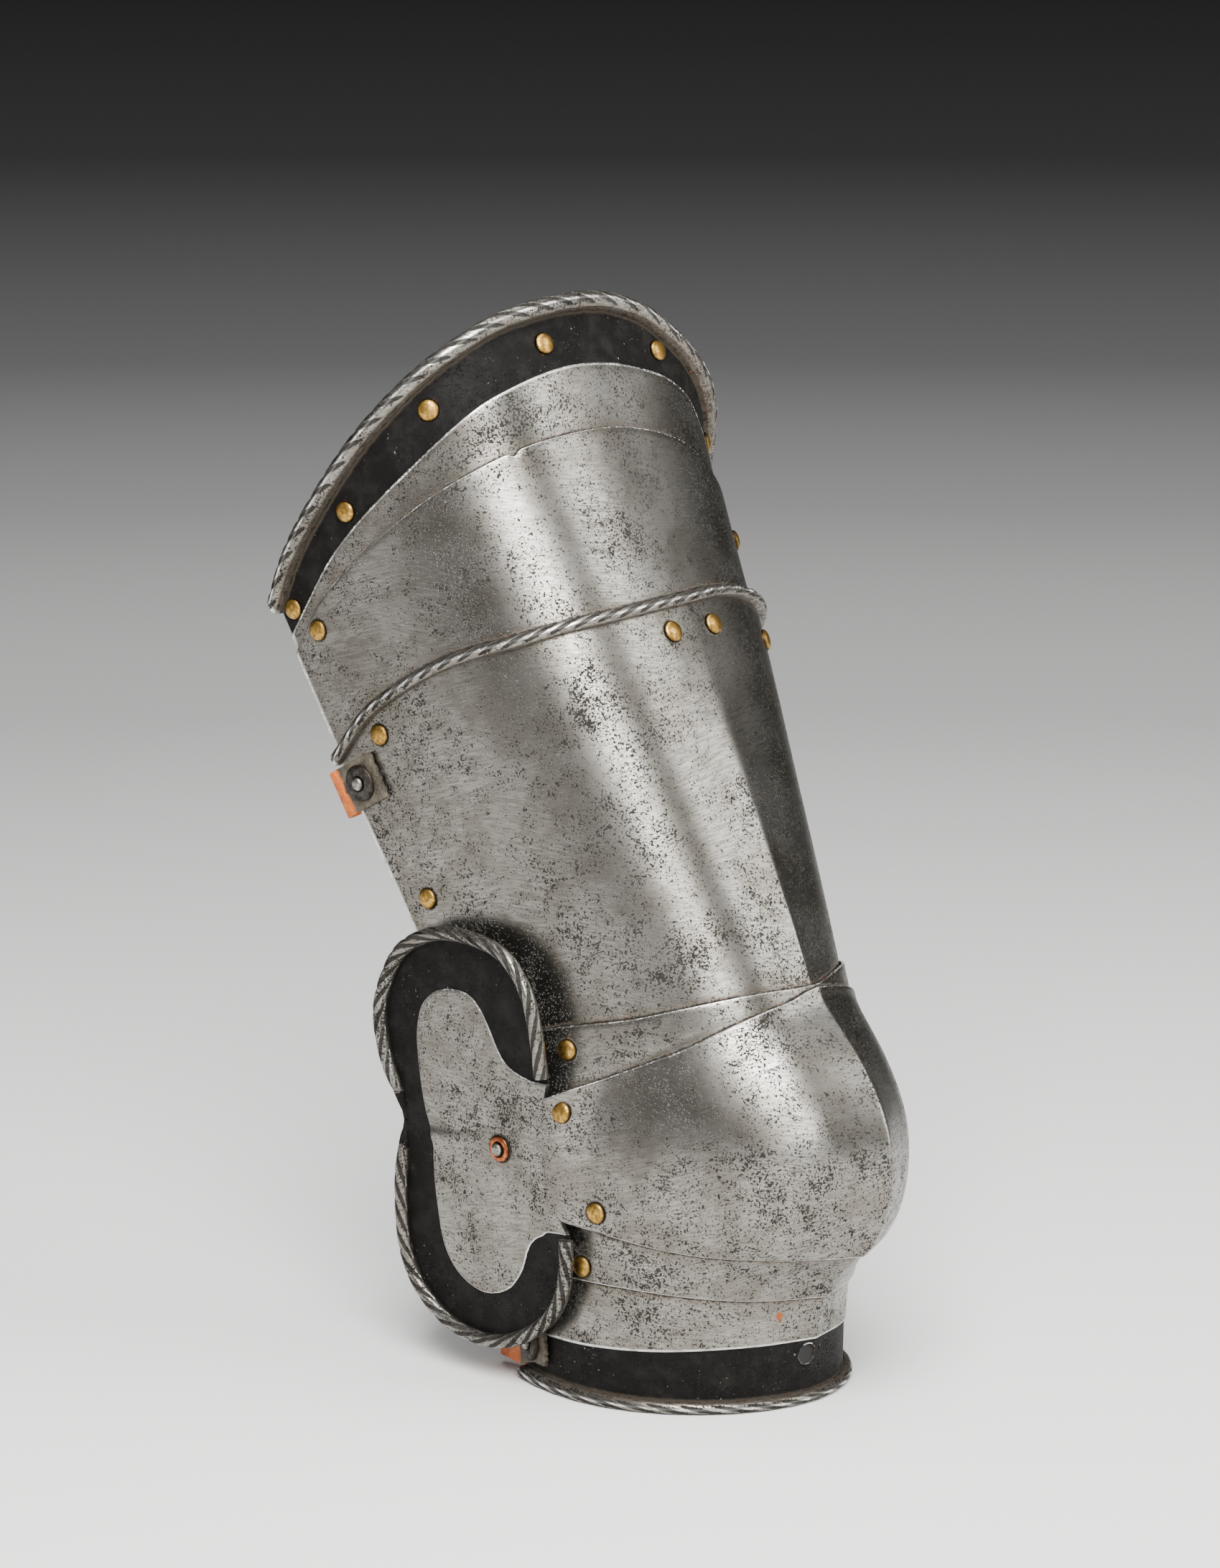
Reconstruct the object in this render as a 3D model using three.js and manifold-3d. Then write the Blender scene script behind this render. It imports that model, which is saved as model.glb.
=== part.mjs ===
// Cuisse with poleyn: thigh and knee armour for a right leg, standing on its foot edge.
// Millimetres, +Z up, +X to the front of the knee, -Y to the outer side of the leg.
import * as THREE from 'three';
import { mergeVertices } from 'three/addons/utils/BufferGeometryUtils.js';
import Module from 'manifold-3d';

// Driving sizes of the whole leg form
const KNEE_LEVEL = 133.5; // height up the middle of the foot opening where knee meets thigh
const THIGH_RUN = 345; // the same vertical, from the knee level to above the top edge
const THIGH_LEAN = 26; // degrees that the thigh leans back
const KNEE_DEPTH = 140; // half depth that the knee sections are shares of
const KNEE_HALF_WIDTH = 65;
const THIGH_DEPTH = 146;
const THIGH_HALF_WIDTH = 92;
const KNEE_TOP_HALF = 0.723; // share of THIGH_HALF_WIDTH where the thigh meets the knee
const KEEL_HEIGHT = 5; // the medial ridge where it stands highest
const KEEL_SPREAD = 16; // degrees on each side over which the ridge dies away

// Sheet, layers and edges
const WALL = 1.3;
const PLATE_GAP = 0.5; // between two overlapping plates
const TAIL_GAP = 0.6; // under the riveted-over tails, inside the curve of the sheet
const FIT_GAP = 0.3; // round rivets, under heads and washers, and under leather
const TOP_ROPE_RADIUS = 4.1;
const MAIN_ROPE_RADIUS = 2.9;
const FOOT_ROPE_RADIUS = 2.8;
const WING_ROPE_RADIUS = 3.3;
const BAND_SINK = 0.7; // depth of the dark sunken borders
const BAND_STEP = 1.6; // length of the slope down into a sunken border
const ROPE_SEAT = 0.85; // share of a rope's radius below its middle where the sheet enters it
// Round a rope, from where it leaves the outer face to where it meets the inner face
const ROPE_ANGLES = [-67.5, -22.5, 22.5, 67.5, 112.5, 157.5, 180];
const WING_ROPE_SIDES = 8;

// How far the covered ends of the plates are drawn in at the front
const MAIN_TUCK = 5.5;
const UPPER_LAME_TUCK = 6;
const LOWER_LAME_TUCK = 13;
const BOTTOM_TUCK = 4;

// The wing of the poleyn
const WING_WIDTH = 105;
const WING_HEIGHT = 173.5;
const WING_MIDDLE = 0.75 * KNEE_LEVEL; // height of its middle
const WING_REACH = 6.984; // from the widest place of the knee out to its face, at its middle
const WING_STANDOFF = Math.max(KNEE_HALF_WIDTH, KNEE_TOP_HALF * THIGH_HALF_WIDTH) + WING_REACH;
const WING_LEAN = 0.085; // millimetres that it stands out further for each millimetre up
const WING_BORDER = 23.5; // rope and sunken band together
const CREASE_HEIGHT = 1.2; // of the crease that runs in from the cusp
const CREASE_WIDTH = 10;
const CREASE_START = 0.8; // share of the border that it leaves free at the cusp
const CREASE_ROOT = 0.4; // how deep it is rooted in the sheet
const NECK_LAP = 0.3; // how deep the side of the cop runs into the wing's sheet
const NECK_START = 4; // behind the middle of the leg, where the side of the cop begins to turn out
const NECK_END = 18;

// Rivets, washers and the pin hole
const RIVET_SIDES = 8;
const HEAD_RADIUS = 4.2;
const HEAD_HEIGHT = 2.1;
const DOME_RADIUS = 0.62; // shares of a head's radius and height at the fold of its dome
const DOME_HEIGHT = 0.78;
const SHANK_RADIUS = 1.6;
const TAIL_RADIUS = 2.5;
const TAIL_HEIGHT = 0.8;
const STUD_RADIUS = 2.6;
const STUD_HEIGHT = 1.5;
const WASHER_SIDES = 12;
const COPPER_RADIUS = 5.5;
const COPPER_THICKNESS = 0.8;
const WASHER_RADIUS = 7.4;
const WASHER_THICKNESS = 1.1;
const WASHER_BEVEL = 0.8; // share of a washer's radius inside its bevelled edge
const WASHER_GAP = 0.8; // under a washer, which bridges the curve of the sheet
const PIN_HOLE_RADIUS = 4.05;
const DRILL_REACH = 12;
const HOLE_RADIUS = SHANK_RADIUS + FIT_GAP;

// Leather strap stubs
const LEATHER = 2.0;
const LEATHER_WIDTH = 19;
const LEATHER_GAP = 0.8; // leather over the curved sheet
const LEATHER_FOLD = 7.8; // how far the fold stands behind the plate's rear edge
const CALF_LEATHER_WIDTH = 13.3;

const wasm = await Module();
wasm.setup();

const radians = THREE.MathUtils.degToRad;

// Smooth curve through a table of rows, which keeps to the rise and fall of its values.
function curve(rows, key, value) {
  const xs = rows.map((row) => row[key]);
  const ys = rows.map((row) => row[value]);
  const last = xs.length - 1;
  const slopes = xs.slice(1).map((x, i) => (ys[i + 1] - ys[i]) / (x - xs[i]));
  const tangents = ys.map((y, i) => {
    if (i === 0) return slopes[0];
    if (i === last) return slopes[last - 1];
    if (slopes[i - 1] * slopes[i] <= 0) return 0;
    const before = xs[i] - xs[i - 1];
    const after = xs[i + 1] - xs[i];
    const one = 2 * after + before;
    const two = after + 2 * before;
    return (one + two) / (one / slopes[i - 1] + two / slopes[i]);
  });
  return (x) => {
    const at = THREE.MathUtils.clamp(x, xs[0], xs[last]);
    const i = Math.max(0, Math.min(last - 1, xs.findIndex((edge) => edge > at) - 1));
    const k = at >= xs[last] ? last - 1 : i;
    const step = xs[k + 1] - xs[k];
    const t = (at - xs[k]) / step;
    const rise = t * t * (3 - 2 * t);
    return (1 - rise) * ys[k] + rise * ys[k + 1]
      + step * (t * (1 - t) * (1 - t) * tangents[k] - t * t * (1 - t) * tangents[k + 1]);
  };
}

// Sections of the leg form, in the outer face of the innermost knee layer.
// level: 0 at the foot, 1 at the knee level, 2 above the top edge.
// lean: share of THIGH_LEAN. back: how far the widest place lies behind the upright through
// the level's mark. front and rear: half depths. half: half width. square: 2 is an ellipse.
const KNEE_ROWS = [
  { level: 0.0, lean: 0.0, back: 0.036,
    front: 0.468, rear: 0.593, half: 0.962, square: 1.95, keel: 0 },
  { level: 0.09, lean: -0.04, back: 0.034,
    front: 0.468, rear: 0.593, half: 0.946, square: 1.95, keel: 0.1 },
  { level: 0.21, lean: -0.115, back: 0.053,
    front: 0.486, rear: 0.6, half: 0.946, square: 1.95, keel: 0.4 },
  { level: 0.37, lean: -0.192, back: 0.088,
    front: 0.521, rear: 0.614, half: 0.954, square: 1.95, keel: 0.6 },
  { level: 0.54, lean: -0.212, back: 0.135,
    front: 0.664, rear: 0.629, half: 0.977, square: 1.95, keel: 0.8 },
  { level: 0.75, lean: 0.192, back: 0.109,
    front: 0.843, rear: 0.643, half: 1.0, square: 2.0, keel: 1.0 },
];
const THIGH_ROWS = [
  { level: 1.0, lean: 1, back: 0.103,
    front: 0.957, rear: 0.616, half: KNEE_TOP_HALF, square: 2.45, keel: 0.6 },
  { level: 1.226, lean: 1, back: 0.103,
    front: 0.978, rear: 0.616, half: 0.793, square: 2.8, keel: 0.6 },
  { level: 1.484, lean: 1, back: 0.103,
    front: 0.995, rear: 0.616, half: 0.913, square: 3.0, keel: 0.4 },
  { level: 1.742, lean: 1, back: 0.103,
    front: 1.01, rear: 0.616, half: 1.016, square: 3.1, keel: 0 },
  { level: 1.86, lean: 1, back: 0.103,
    front: 1.048, rear: 0.616, half: 1.076, square: 3.3, keel: 0 },
  { level: 2.0, lean: 1, back: 0.103,
    front: 1.075, rear: 0.616, half: 1.12, square: 3.3, keel: 0 },
];

function sized(row, depth, halfWidth) {
  return {
    level: row.level,
    lean: row.lean * THIGH_LEAN,
    back: row.back * depth,
    front: row.front * depth,
    rear: row.rear * depth,
    half: row.half * halfWidth,
    square: row.square,
    keel: row.keel * KEEL_HEIGHT,
  };
}

const SECTIONS = [
  ...KNEE_ROWS.map((row) => sized(row, KNEE_DEPTH, KNEE_HALF_WIDTH)),
  ...THIGH_ROWS.map((row) => sized(row, THIGH_DEPTH, THIGH_HALF_WIDTH)),
];
const SECTION_VALUES = ['lean', 'back', 'front', 'rear', 'half', 'square', 'keel'];
const sectionAt = {};
for (const name of SECTION_VALUES) sectionAt[name] = curve(SECTIONS, 'level', name);

// A point of the leg form: turn in degrees from the keel (negative on the outer side),
// level up the leg, and millimetres out of the form, square to it.
function limb(turn, level, out) {
  const height = level < 1 ? level * KNEE_LEVEL : KNEE_LEVEL + (level - 1) * THIGH_RUN;
  const lean = radians(sectionAt.lean(level));
  const square = sectionAt.square(level);
  const c = Math.cos(radians(turn));
  const s = Math.sin(radians(turn));
  const reach = (Math.abs(c) ** square + Math.abs(s) ** square) ** (-1 / square);
  const depth = c >= 0 ? sectionAt.front(level) : sectionAt.rear(level);
  const half = sectionAt.half(level);
  const ahead = (Math.sign(c) * Math.abs(c * reach) ** (square - 1)) / depth;
  const aside = (Math.sign(s) * Math.abs(s * reach) ** (square - 1)) / half;
  const share = out / Math.hypot(ahead, aside);
  const ridge = sectionAt.keel(level) * Math.max(0, 1 - Math.abs(turn) / KEEL_SPREAD) ** 2;
  const place = depth * c * reach + ahead * share + ridge;
  const x = place - sectionAt.back(level) - height * Math.sin(lean);
  const y = half * s * reach + aside * share;
  return new THREE.Vector3(x * Math.cos(lean), y, height + x * Math.sin(lean));
}

function limbNormal(turn, level, out) {
  const small = 0.004;
  const along = limb(turn, level + small, out).sub(limb(turn, level - small, out));
  const round = limb(turn + 0.5, level, out).sub(limb(turn - 0.5, level, out));
  return round.cross(along).normalize();
}

// Millimetres up the leg for one whole level
function levelSpan(level) {
  return level < 1 ? KNEE_LEVEL : THIGH_RUN * Math.cos(radians(THIGH_LEAN));
}

// Where the plates end at the rear, in degrees from the keel
const OUTER_END = curve([
  { level: 0.0, turn: 118 },
  { level: 0.45, turn: 116 },
  { level: 0.65, turn: 104 },
  { level: 0.9, turn: 86 },
  { level: 1.1, turn: 83 },
  { level: 2.0, turn: 84 },
], 'level', 'turn');
const INNER_END = curve([
  { level: 0.0, turn: 112 },
  { level: 0.45, turn: 110 },
  { level: 0.65, turn: 98 },
  { level: 0.9, turn: 80 },
  { level: 1.1, turn: 77 },
  { level: 1.25, turn: 66 },
  { level: 1.4, turn: 58 },
  { level: 1.65, turn: 55 },
  { level: 2.0, turn: 51 },
], 'level', 'turn');
// The cop stops inside the wing's plate on the outer side and in a tongue on the inner side
const COP_OUTER_END = curve([
  { level: 0.45, turn: 99 },
  { level: 0.54, turn: 97 },
  { level: 0.75, turn: 88 },
  { level: 1.0, turn: 74 },
  { level: 1.1, turn: 72 },
], 'level', 'turn');
const COP_INNER_END = curve([
  { level: 0.45, turn: 90 },
  { level: 0.75, turn: 90 },
  { level: 1.0, turn: 76 },
  { level: 1.1, turn: 74 },
], 'level', 'turn');

// Edges of the plates. round: -1 at the outer rear end, 0 at the keel, 1 at the inner rear end.
function edge(rows) {
  return curve(rows, 'round', 'level');
}
const TOP_ROPE = edge([
  { round: -1, level: 1.711 },
  { round: -0.92, level: 1.753 },
  { round: -0.8, level: 1.799 },
  { round: -0.65, level: 1.851 },
  { round: -0.5, level: 1.891 },
  { round: -0.3, level: 1.923 },
  { round: -0.05, level: 1.935 },
  { round: 0.2, level: 1.921 },
  { round: 0.4, level: 1.885 },
  { round: 0.6, level: 1.837 },
  { round: 0.8, level: 1.783 },
  { round: 1, level: 1.718 },
]);
const TOP_BAND_FOOT = edge([
  { round: -1, level: 1.668 },
  { round: -0.95, level: 1.686 },
  { round: -0.82, level: 1.733 },
  { round: -0.62, level: 1.781 },
  { round: -0.4, level: 1.829 },
  { round: -0.1, level: 1.853 },
  { round: 0.27, level: 1.836 },
  { round: 0.46, level: 1.812 },
  { round: 0.68, level: 1.746 },
  { round: 1, level: 1.668 },
]);
const TOP_PLATE_FOOT = edge([
  { round: -1, level: 1.612 },
  { round: -0.8, level: 1.636 },
  { round: -0.4, level: 1.68 },
  { round: 0, level: 1.7 },
  { round: 0.4, level: 1.66 },
  { round: 0.72, level: 1.59 },
  { round: 1, level: 1.585 },
]);
const UPPER_PLATE_TOP = edge([
  { round: -1, level: 1.645 },
  { round: -0.9, level: 1.685 },
  { round: -0.77, level: 1.712 },
  { round: -0.57, level: 1.743 },
  { round: -0.3, level: 1.764 },
  { round: -0.08, level: 1.77 },
  { round: 0.1, level: 1.764 },
  { round: 0.33, level: 1.747 },
  { round: 0.6, level: 1.698 },
  { round: 1, level: 1.63 },
]);
const UPPER_PLATE_FOOT = edge([
  { round: -1, level: 1.49 },
  { round: -0.9, level: 1.487 },
  { round: -0.84, level: 1.47 },
  { round: -0.7, level: 1.455 },
  { round: 1, level: 1.45 },
]);
const MAIN_ROPE = edge([
  { round: -1, level: 1.495 },
  { round: -0.85, level: 1.532 },
  { round: -0.7, level: 1.54 },
  { round: -0.5, level: 1.528 },
  { round: -0.3, level: 1.524 },
  { round: -0.05, level: 1.53 },
  { round: 0.25, level: 1.537 },
  { round: 0.6, level: 1.524 },
  { round: 1, level: 1.495 },
]);
const MAIN_PLATE_FOOT = edge([
  { round: -1, level: 0.998 },
  { round: -0.6, level: 0.98 },
  { round: 0, level: 0.95 },
  { round: 0.6, level: 0.98 },
  { round: 1, level: 0.998 },
]);
const UPPER_LAME_TOP = edge([
  { round: -1, level: 1.095 },
  { round: -0.78, level: 1.07 },
  { round: -0.56, level: 1.038 },
  { round: -0.22, level: 1.019 },
  { round: 0, level: 1.013 },
  { round: 0.22, level: 1.028 },
  { round: 0.5, level: 1.05 },
  { round: 0.8, level: 1.07 },
  { round: 1, level: 1.09 },
]);
const UPPER_LAME_FOOT = edge([
  { round: -1, level: 0.85 },
  { round: -0.75, level: 0.83 },
  { round: 0, level: 0.91 },
  { round: 0.75, level: 0.83 },
  { round: 1, level: 0.85 },
]);
const COP_TOP = edge([
  { round: -1, level: 0.965 },
  { round: -0.85, level: 0.963 },
  { round: -0.6, level: 0.96 },
  { round: -0.4, level: 0.977 },
  { round: -0.2, level: 0.994 },
  { round: 0, level: 1.008 },
  { round: 0.3, level: 1.004 },
  { round: 0.6, level: 0.972 },
  { round: 0.9, level: 0.96 },
  { round: 1, level: 0.93 },
]);
const COP_FOOT = edge([
  { round: -1, level: 0.56 },
  { round: -0.8, level: 0.539 },
  { round: -0.55, level: 0.529 },
  { round: -0.3, level: 0.538 },
  { round: 0, level: 0.54 },
  { round: 0.6, level: 0.535 },
  { round: 0.9, level: 0.55 },
  { round: 1, level: 0.58 },
]);
const LOWER_LAME_TOP = edge([
  { round: -1, level: 0.64 },
  { round: -0.75, level: 0.67 },
  { round: 0, level: 0.635 },
  { round: 0.75, level: 0.67 },
  { round: 1, level: 0.64 },
]);
const LOWER_LAME_FOOT = edge([
  { round: -1, level: 0.345 },
  { round: -0.5, level: 0.383 },
  { round: 0, level: 0.377 },
  { round: 0.5, level: 0.37 },
  { round: 1, level: 0.345 },
]);
const BOTTOM_LAME_TOP = edge([
  { round: -1, level: 0.46 },
  { round: -0.72, level: 0.485 },
  { round: 0, level: 0.44 },
  { round: 0.72, level: 0.485 },
  { round: 1, level: 0.46 },
]);
const FOOT_BAND_TOP = edge([
  { round: -1, level: 0.15 },
  { round: -0.6, level: 0.188 },
  { round: -0.2, level: 0.224 },
  { round: 0, level: 0.228 },
  { round: 0.3, level: 0.213 },
  { round: 1, level: 0.16 },
]);

// The layers, counted outward from the innermost knee layer
const LAYER = WALL + PLATE_GAP;
const TOP_LAYER = -2;
const UPPER_LAYER = -1;
const MAIN_LAYER = 0;
const LAME_LAYER = 1;
const COP_LAYER = 2;
const BOTTOM_LAYER = 0;

function byRound(share, level, outerEnd, innerEnd) {
  return share < 0 ? share * outerEnd(level) : share * innerEnd(level);
}

// Where the plates have their sections: shares of the way round to each rear end
const OUTER_SHARES = [1, 0.89, 0.78, 0.68, 0.59, 0.51, 0.43, 0.35, 0.27, 0.19, 0.12, 0.057];
const INNER_SHARES = [0.09, 0.19, 0.3, 0.42, 0.55, 0.69, 0.84, 1];
const STATIONS = [...OUTER_SHARES.map((share) => -share), 0, ...INNER_SHARES];

// A closed solid from rings of points: each ring is one closed section, the ends are capped.
function loft(rings, capOutline) {
  const size = rings[0].length;
  const points = rings.flat();
  const triangles = [];
  for (let r = 0; r + 1 < rings.length; r += 1) {
    for (let i = 0; i < size; i += 1) {
      const a = r * size + i;
      const b = r * size + ((i + 1) % size);
      triangles.push([a, b, b + size], [a, b + size, a + size]);
    }
  }
  const cap = (ring, outline, flip) => {
    const way = Math.sign(THREE.ShapeUtils.area(outline));
    for (const corners of THREE.ShapeUtils.triangulateShape(outline, [])) {
      const along = Math.sign(THREE.ShapeUtils.area(corners.map((i) => outline[i]))) === way;
      const ordered = along === flip ? corners.slice().reverse() : corners;
      triangles.push(ordered.map((i) => i + ring * size));
    }
  };
  cap(0, capOutline[0], true);
  cap(rings.length - 1, capOutline[1], false);
  return solid(points, triangles);
}

// Geometry with its faces pointing out
function solid(points, triangles) {
  let volume = 0;
  for (const [a, b, c] of triangles) {
    volume += points[a].dot(points[b].clone().cross(points[c]));
  }
  const order = volume < 0 ? triangles.map(([a, b, c]) => [a, c, b]) : triangles;
  const geometry = new THREE.BufferGeometry();
  const numbers = points.flatMap((point) => point.toArray());
  geometry.setAttribute('position', new THREE.Float32BufferAttribute(numbers, 3));
  geometry.setIndex(order.flat());
  return geometry;
}

// One plate of sheet, swept round the leg between its two rear ends.
// rim: 'top' or 'foot', the edge that is rolled outward into a rope of ropeRadius.
// band: the edge of the sunken border beside the rope. tuck: how far the covered end of the
// plate is drawn in at the front, so that the covering plate can slide over it.
function plate(spec) {
  const outerEnd = spec.outerEnd ?? OUTER_END;
  const innerEnd = spec.innerEnd ?? INNER_END;
  const base = spec.layer * LAYER;
  const rings = [];
  const outlines = [];
  for (const share of STATIONS) {
    const face = faceRows(spec, share);
    const inside = face.map((row) => ({ level: row.level, out: row.out - WALL })).reverse();
    const rope = spec.rim ? ropeRows(spec, share) : [];
    const outline = spec.rim === 'foot'
      ? [...rope.reverse(), ...face, ...inside]
      : [...face, ...rope, ...inside];
    const ring = [];
    for (const row of outline) {
      const turn = byRound(share, row.level, outerEnd, innerEnd);
      row.out += base - drawnIn(spec, share, row.level, turn) + flaredOut(spec, turn, row.level, base);
      ring.push(limb(turn, row.level, row.out));
    }
    rings.push(ring);
    outlines.push(outline.map((row) => new THREE.Vector2(row.level * levelSpan(row.level), row.out)));
  }
  return loft(rings, [outlines[0], outlines[outlines.length - 1]]);
}

// The plate's outer face at one station, from foot to top, in millimetres out of its layer
function faceRows(spec, share) {
  const foot = spec.foot(share);
  const top = spec.top(share);
  const slope = BAND_STEP / levelSpan(top);
  const seat = (ROPE_SEAT * (spec.ropeRadius ?? 0)) / levelSpan(top);
  const bodyFoot = spec.rim === 'foot' ? spec.band(share) : foot;
  const bodyTop = spec.rim === 'top' ? (spec.band?.(share) ?? top - seat) : top;
  const face = Array.from({ length: spec.rows }, (_, i) => (
    { level: bodyFoot + ((bodyTop - bodyFoot) * i) / (spec.rows - 1), out: 0 }
  ));
  if (!spec.band) return face;
  if (spec.rim === 'foot') {
    face.unshift({ level: bodyFoot - slope, out: -BAND_SINK });
    face.unshift({ level: foot + seat, out: -BAND_SINK });
  } else {
    face.push({ level: bodyTop + slope, out: -BAND_SINK });
    face.push({ level: top - seat, out: -BAND_SINK });
  }
  return face;
}

// The rope along a plate's edge at one station, from the outer face round to the inner face
function ropeRows(spec, share) {
  const way = spec.rim === 'top' ? 1 : -1;
  const centre = spec[spec.rim](share);
  const span = spec.ropeRadius / levelSpan(centre);
  const middle = spec.ropeRadius - WALL - (spec.band ? BAND_SINK : 0);
  return ROPE_ANGLES.map((angle) => ({
    level: centre + way * Math.sin(radians(angle)) * span,
    out: middle + Math.cos(radians(angle)) * spec.ropeRadius,
  }));
}

// How far the covered end of a plate is drawn in at one place
function drawnIn(spec, share, level, turn) {
  if (!spec.tuck) return 0;
  const { cover, toward, depth } = spec.tuck;
  const run = (level - cover(share)) / (toward(share) - cover(share));
  return depth * THREE.MathUtils.clamp(run, 0, 1) * Math.max(0, Math.cos(radians(turn))) ** 2;
}

// How far the outer side of a plate turns out behind the middle of the leg
function flaredOut(spec, turn, level, base) {
  if (!spec.flare || turn > 0) return 0;
  const { from, to, depth } = spec.flare;
  return depth * THREE.MathUtils.smoothstep(-limb(turn, level, base).x, from, to);
}

function toManifold(geometry) {
  const bare = geometry.clone();
  bare.deleteAttribute('normal');
  bare.deleteAttribute('uv');
  const merged = mergeVertices(bare, 1e-4);
  return new wasm.Manifold(new wasm.Mesh({
    numProp: 3,
    vertProperties: new Float32Array(merged.attributes.position.array),
    triVerts: new Uint32Array(merged.index.array),
  }));
}

function fromManifold(manifold) {
  const mesh = manifold.getMesh();
  const geometry = new THREE.BufferGeometry();
  geometry.setAttribute('position', new THREE.Float32BufferAttribute(mesh.vertProperties, 3));
  geometry.setIndex(Array.from(mesh.triVerts));
  return geometry;
}

// Turns a shape made along +Z so that it stands on a surface
function standOn(geometry, point, normal) {
  const turn = new THREE.Quaternion().setFromUnitVectors(new THREE.Vector3(0, 0, 1), normal);
  return geometry.applyQuaternion(turn).translate(point.x, point.y, point.z);
}

// Outline of the wing: shares of its width behind its front, and of its height.
const WING_UPPER_LOBE = [
  { back: 0.072, up: 0.683 },
  { back: 0.089, up: 0.798 },
  { back: 0.135, up: 0.895 },
  { back: 0.258, up: 0.973 },
  { back: 0.467, up: 1 },
  { back: 0.657, up: 0.989 },
  { back: 0.838, up: 0.934 },
  { back: 0.952, up: 0.839 },
  { back: 0.996, up: 0.75 },
  { back: 0.973, up: 0.647 },
  { back: 0.91, up: 0.561 },
  { back: 0.888, up: 0.508 },
];
const WING_LOWER_LOBE = [
  { back: 0.888, up: 0.508 },
  { back: 0.915, up: 0.442 },
  { back: 0.946, up: 0.326 },
  { back: 0.941, up: 0.194 },
  { back: 0.866, up: 0.095 },
  { back: 0.71, up: 0.024 },
  { back: 0.514, up: 0 },
  { back: 0.325, up: 0.022 },
  { back: 0.155, up: 0.082 },
  { back: 0.048, up: 0.159 },
  { back: 0.005, up: 0.245 },
  { back: -0.002, up: 0.31 },
];
// The neck that joins the wing to the cop, from its lower to its upper notch
const WING_NECK = [
  { back: 0.13, up: 0.36 },
  { back: 0.15, up: 0.5 },
  { back: 0.16, up: 0.62 },
];
// Where the copper washer sits on the wing
const COPPER_PLACE = { back: 0.358, up: 0.492 };
const LOBE_STEPS = 2; // outline points for each row of a lobe

function wingPoint(row) {
  return new THREE.Vector2(-row.back * WING_WIDTH, WING_MIDDLE + (row.up - 0.5) * WING_HEIGHT);
}

// Points along a smooth curve through a lobe's rows
function lobe(rows) {
  const path = new THREE.SplineCurve(rows.map(wingPoint));
  return path.getPoints((rows.length - 1) * LOBE_STEPS);
}

// The same line moved inward by a distance, where inward is to the left of its way
function inset(line, distance) {
  return line.map((point, i) => {
    const before = line[Math.max(0, i - 1)];
    const after = line[Math.min(line.length - 1, i + 1)];
    const way = after.clone().sub(before).normalize();
    return new THREE.Vector2(point.x - way.y * distance, point.y + way.x * distance);
  });
}

// A flat piece of the wing between two distances from the middle plane
function wingSlab(outline, outerFace, thickness) {
  const shape = new THREE.Shape(outline);
  const slab = new THREE.ExtrudeGeometry(shape, { depth: thickness, bevelEnabled: false, curveSegments: 1 });
  return slab.rotateX(Math.PI / 2).translate(0, -outerFace + thickness, 0);
}

// The rolled edge of one lobe
function wingRope(line) {
  const centre = inset(line, WING_ROPE_RADIUS);
  const face = WING_STANDOFF - BAND_SINK - WALL + WING_ROPE_RADIUS;
  const section = Array.from({ length: WING_ROPE_SIDES }, (_, k) => {
    const angle = (2 * Math.PI * k) / WING_ROPE_SIDES;
    return new THREE.Vector2(Math.cos(angle), Math.sin(angle)).multiplyScalar(WING_ROPE_RADIUS);
  });
  const rings = centre.map((point, i) => {
    const out = line[i].clone().sub(point).normalize();
    return section.map(({ x, y }) => new THREE.Vector3(point.x + out.x * x, -face - y, point.y + out.y * x));
  });
  return loft(rings, [section, section]);
}

// The crease that runs from the cusp toward the neck and dies away
function wingCrease(from, to) {
  const root = CREASE_ROOT - WING_STANDOFF;
  const points = [
    new THREE.Vector3(from.x, root, from.y - CREASE_WIDTH / 2),
    new THREE.Vector3(from.x, root, from.y + CREASE_WIDTH / 2),
    new THREE.Vector3(from.x, -WING_STANDOFF - CREASE_HEIGHT, from.y),
    new THREE.Vector3(to.x, root, to.y),
  ];
  return solid(points, [[0, 1, 2], [0, 3, 1], [1, 3, 2], [2, 3, 0]]);
}

// Leans a piece of the wing outward as it rises
function leanWing(geometry) {
  const place = geometry.attributes.position;
  for (let i = 0; i < place.count; i += 1) {
    place.setY(i, place.getY(i) - WING_LEAN * (place.getZ(i) - WING_MIDDLE));
  }
  return geometry;
}

function wing() {
  const upper = lobe(WING_UPPER_LOBE);
  const lower = lobe(WING_LOWER_LOBE);
  const rim = inset([...upper, ...lower.slice(1)], WING_ROPE_RADIUS);
  const neck = WING_NECK.map(wingPoint);
  const sheet = wingSlab([...rim, ...neck], WING_STANDOFF - BAND_SINK, WALL);
  const panelUpper = inset(upper, WING_BORDER).slice(0, -LOBE_STEPS);
  const panelLower = inset(lower, WING_BORDER).slice(LOBE_STEPS);
  const panel = wingSlab([...panelUpper, ...panelLower, ...neck], WING_STANDOFF, WALL);
  const creaseStart = wingPoint(WING_LOWER_LOBE[0]);
  creaseStart.x += WING_BORDER * CREASE_START;
  const crease = wingCrease(creaseStart, wingPoint(COPPER_PLACE));
  return [sheet, panel, wingRope(upper), wingRope(lower), crease].map(leanWing).map(toManifold);
}

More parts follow.
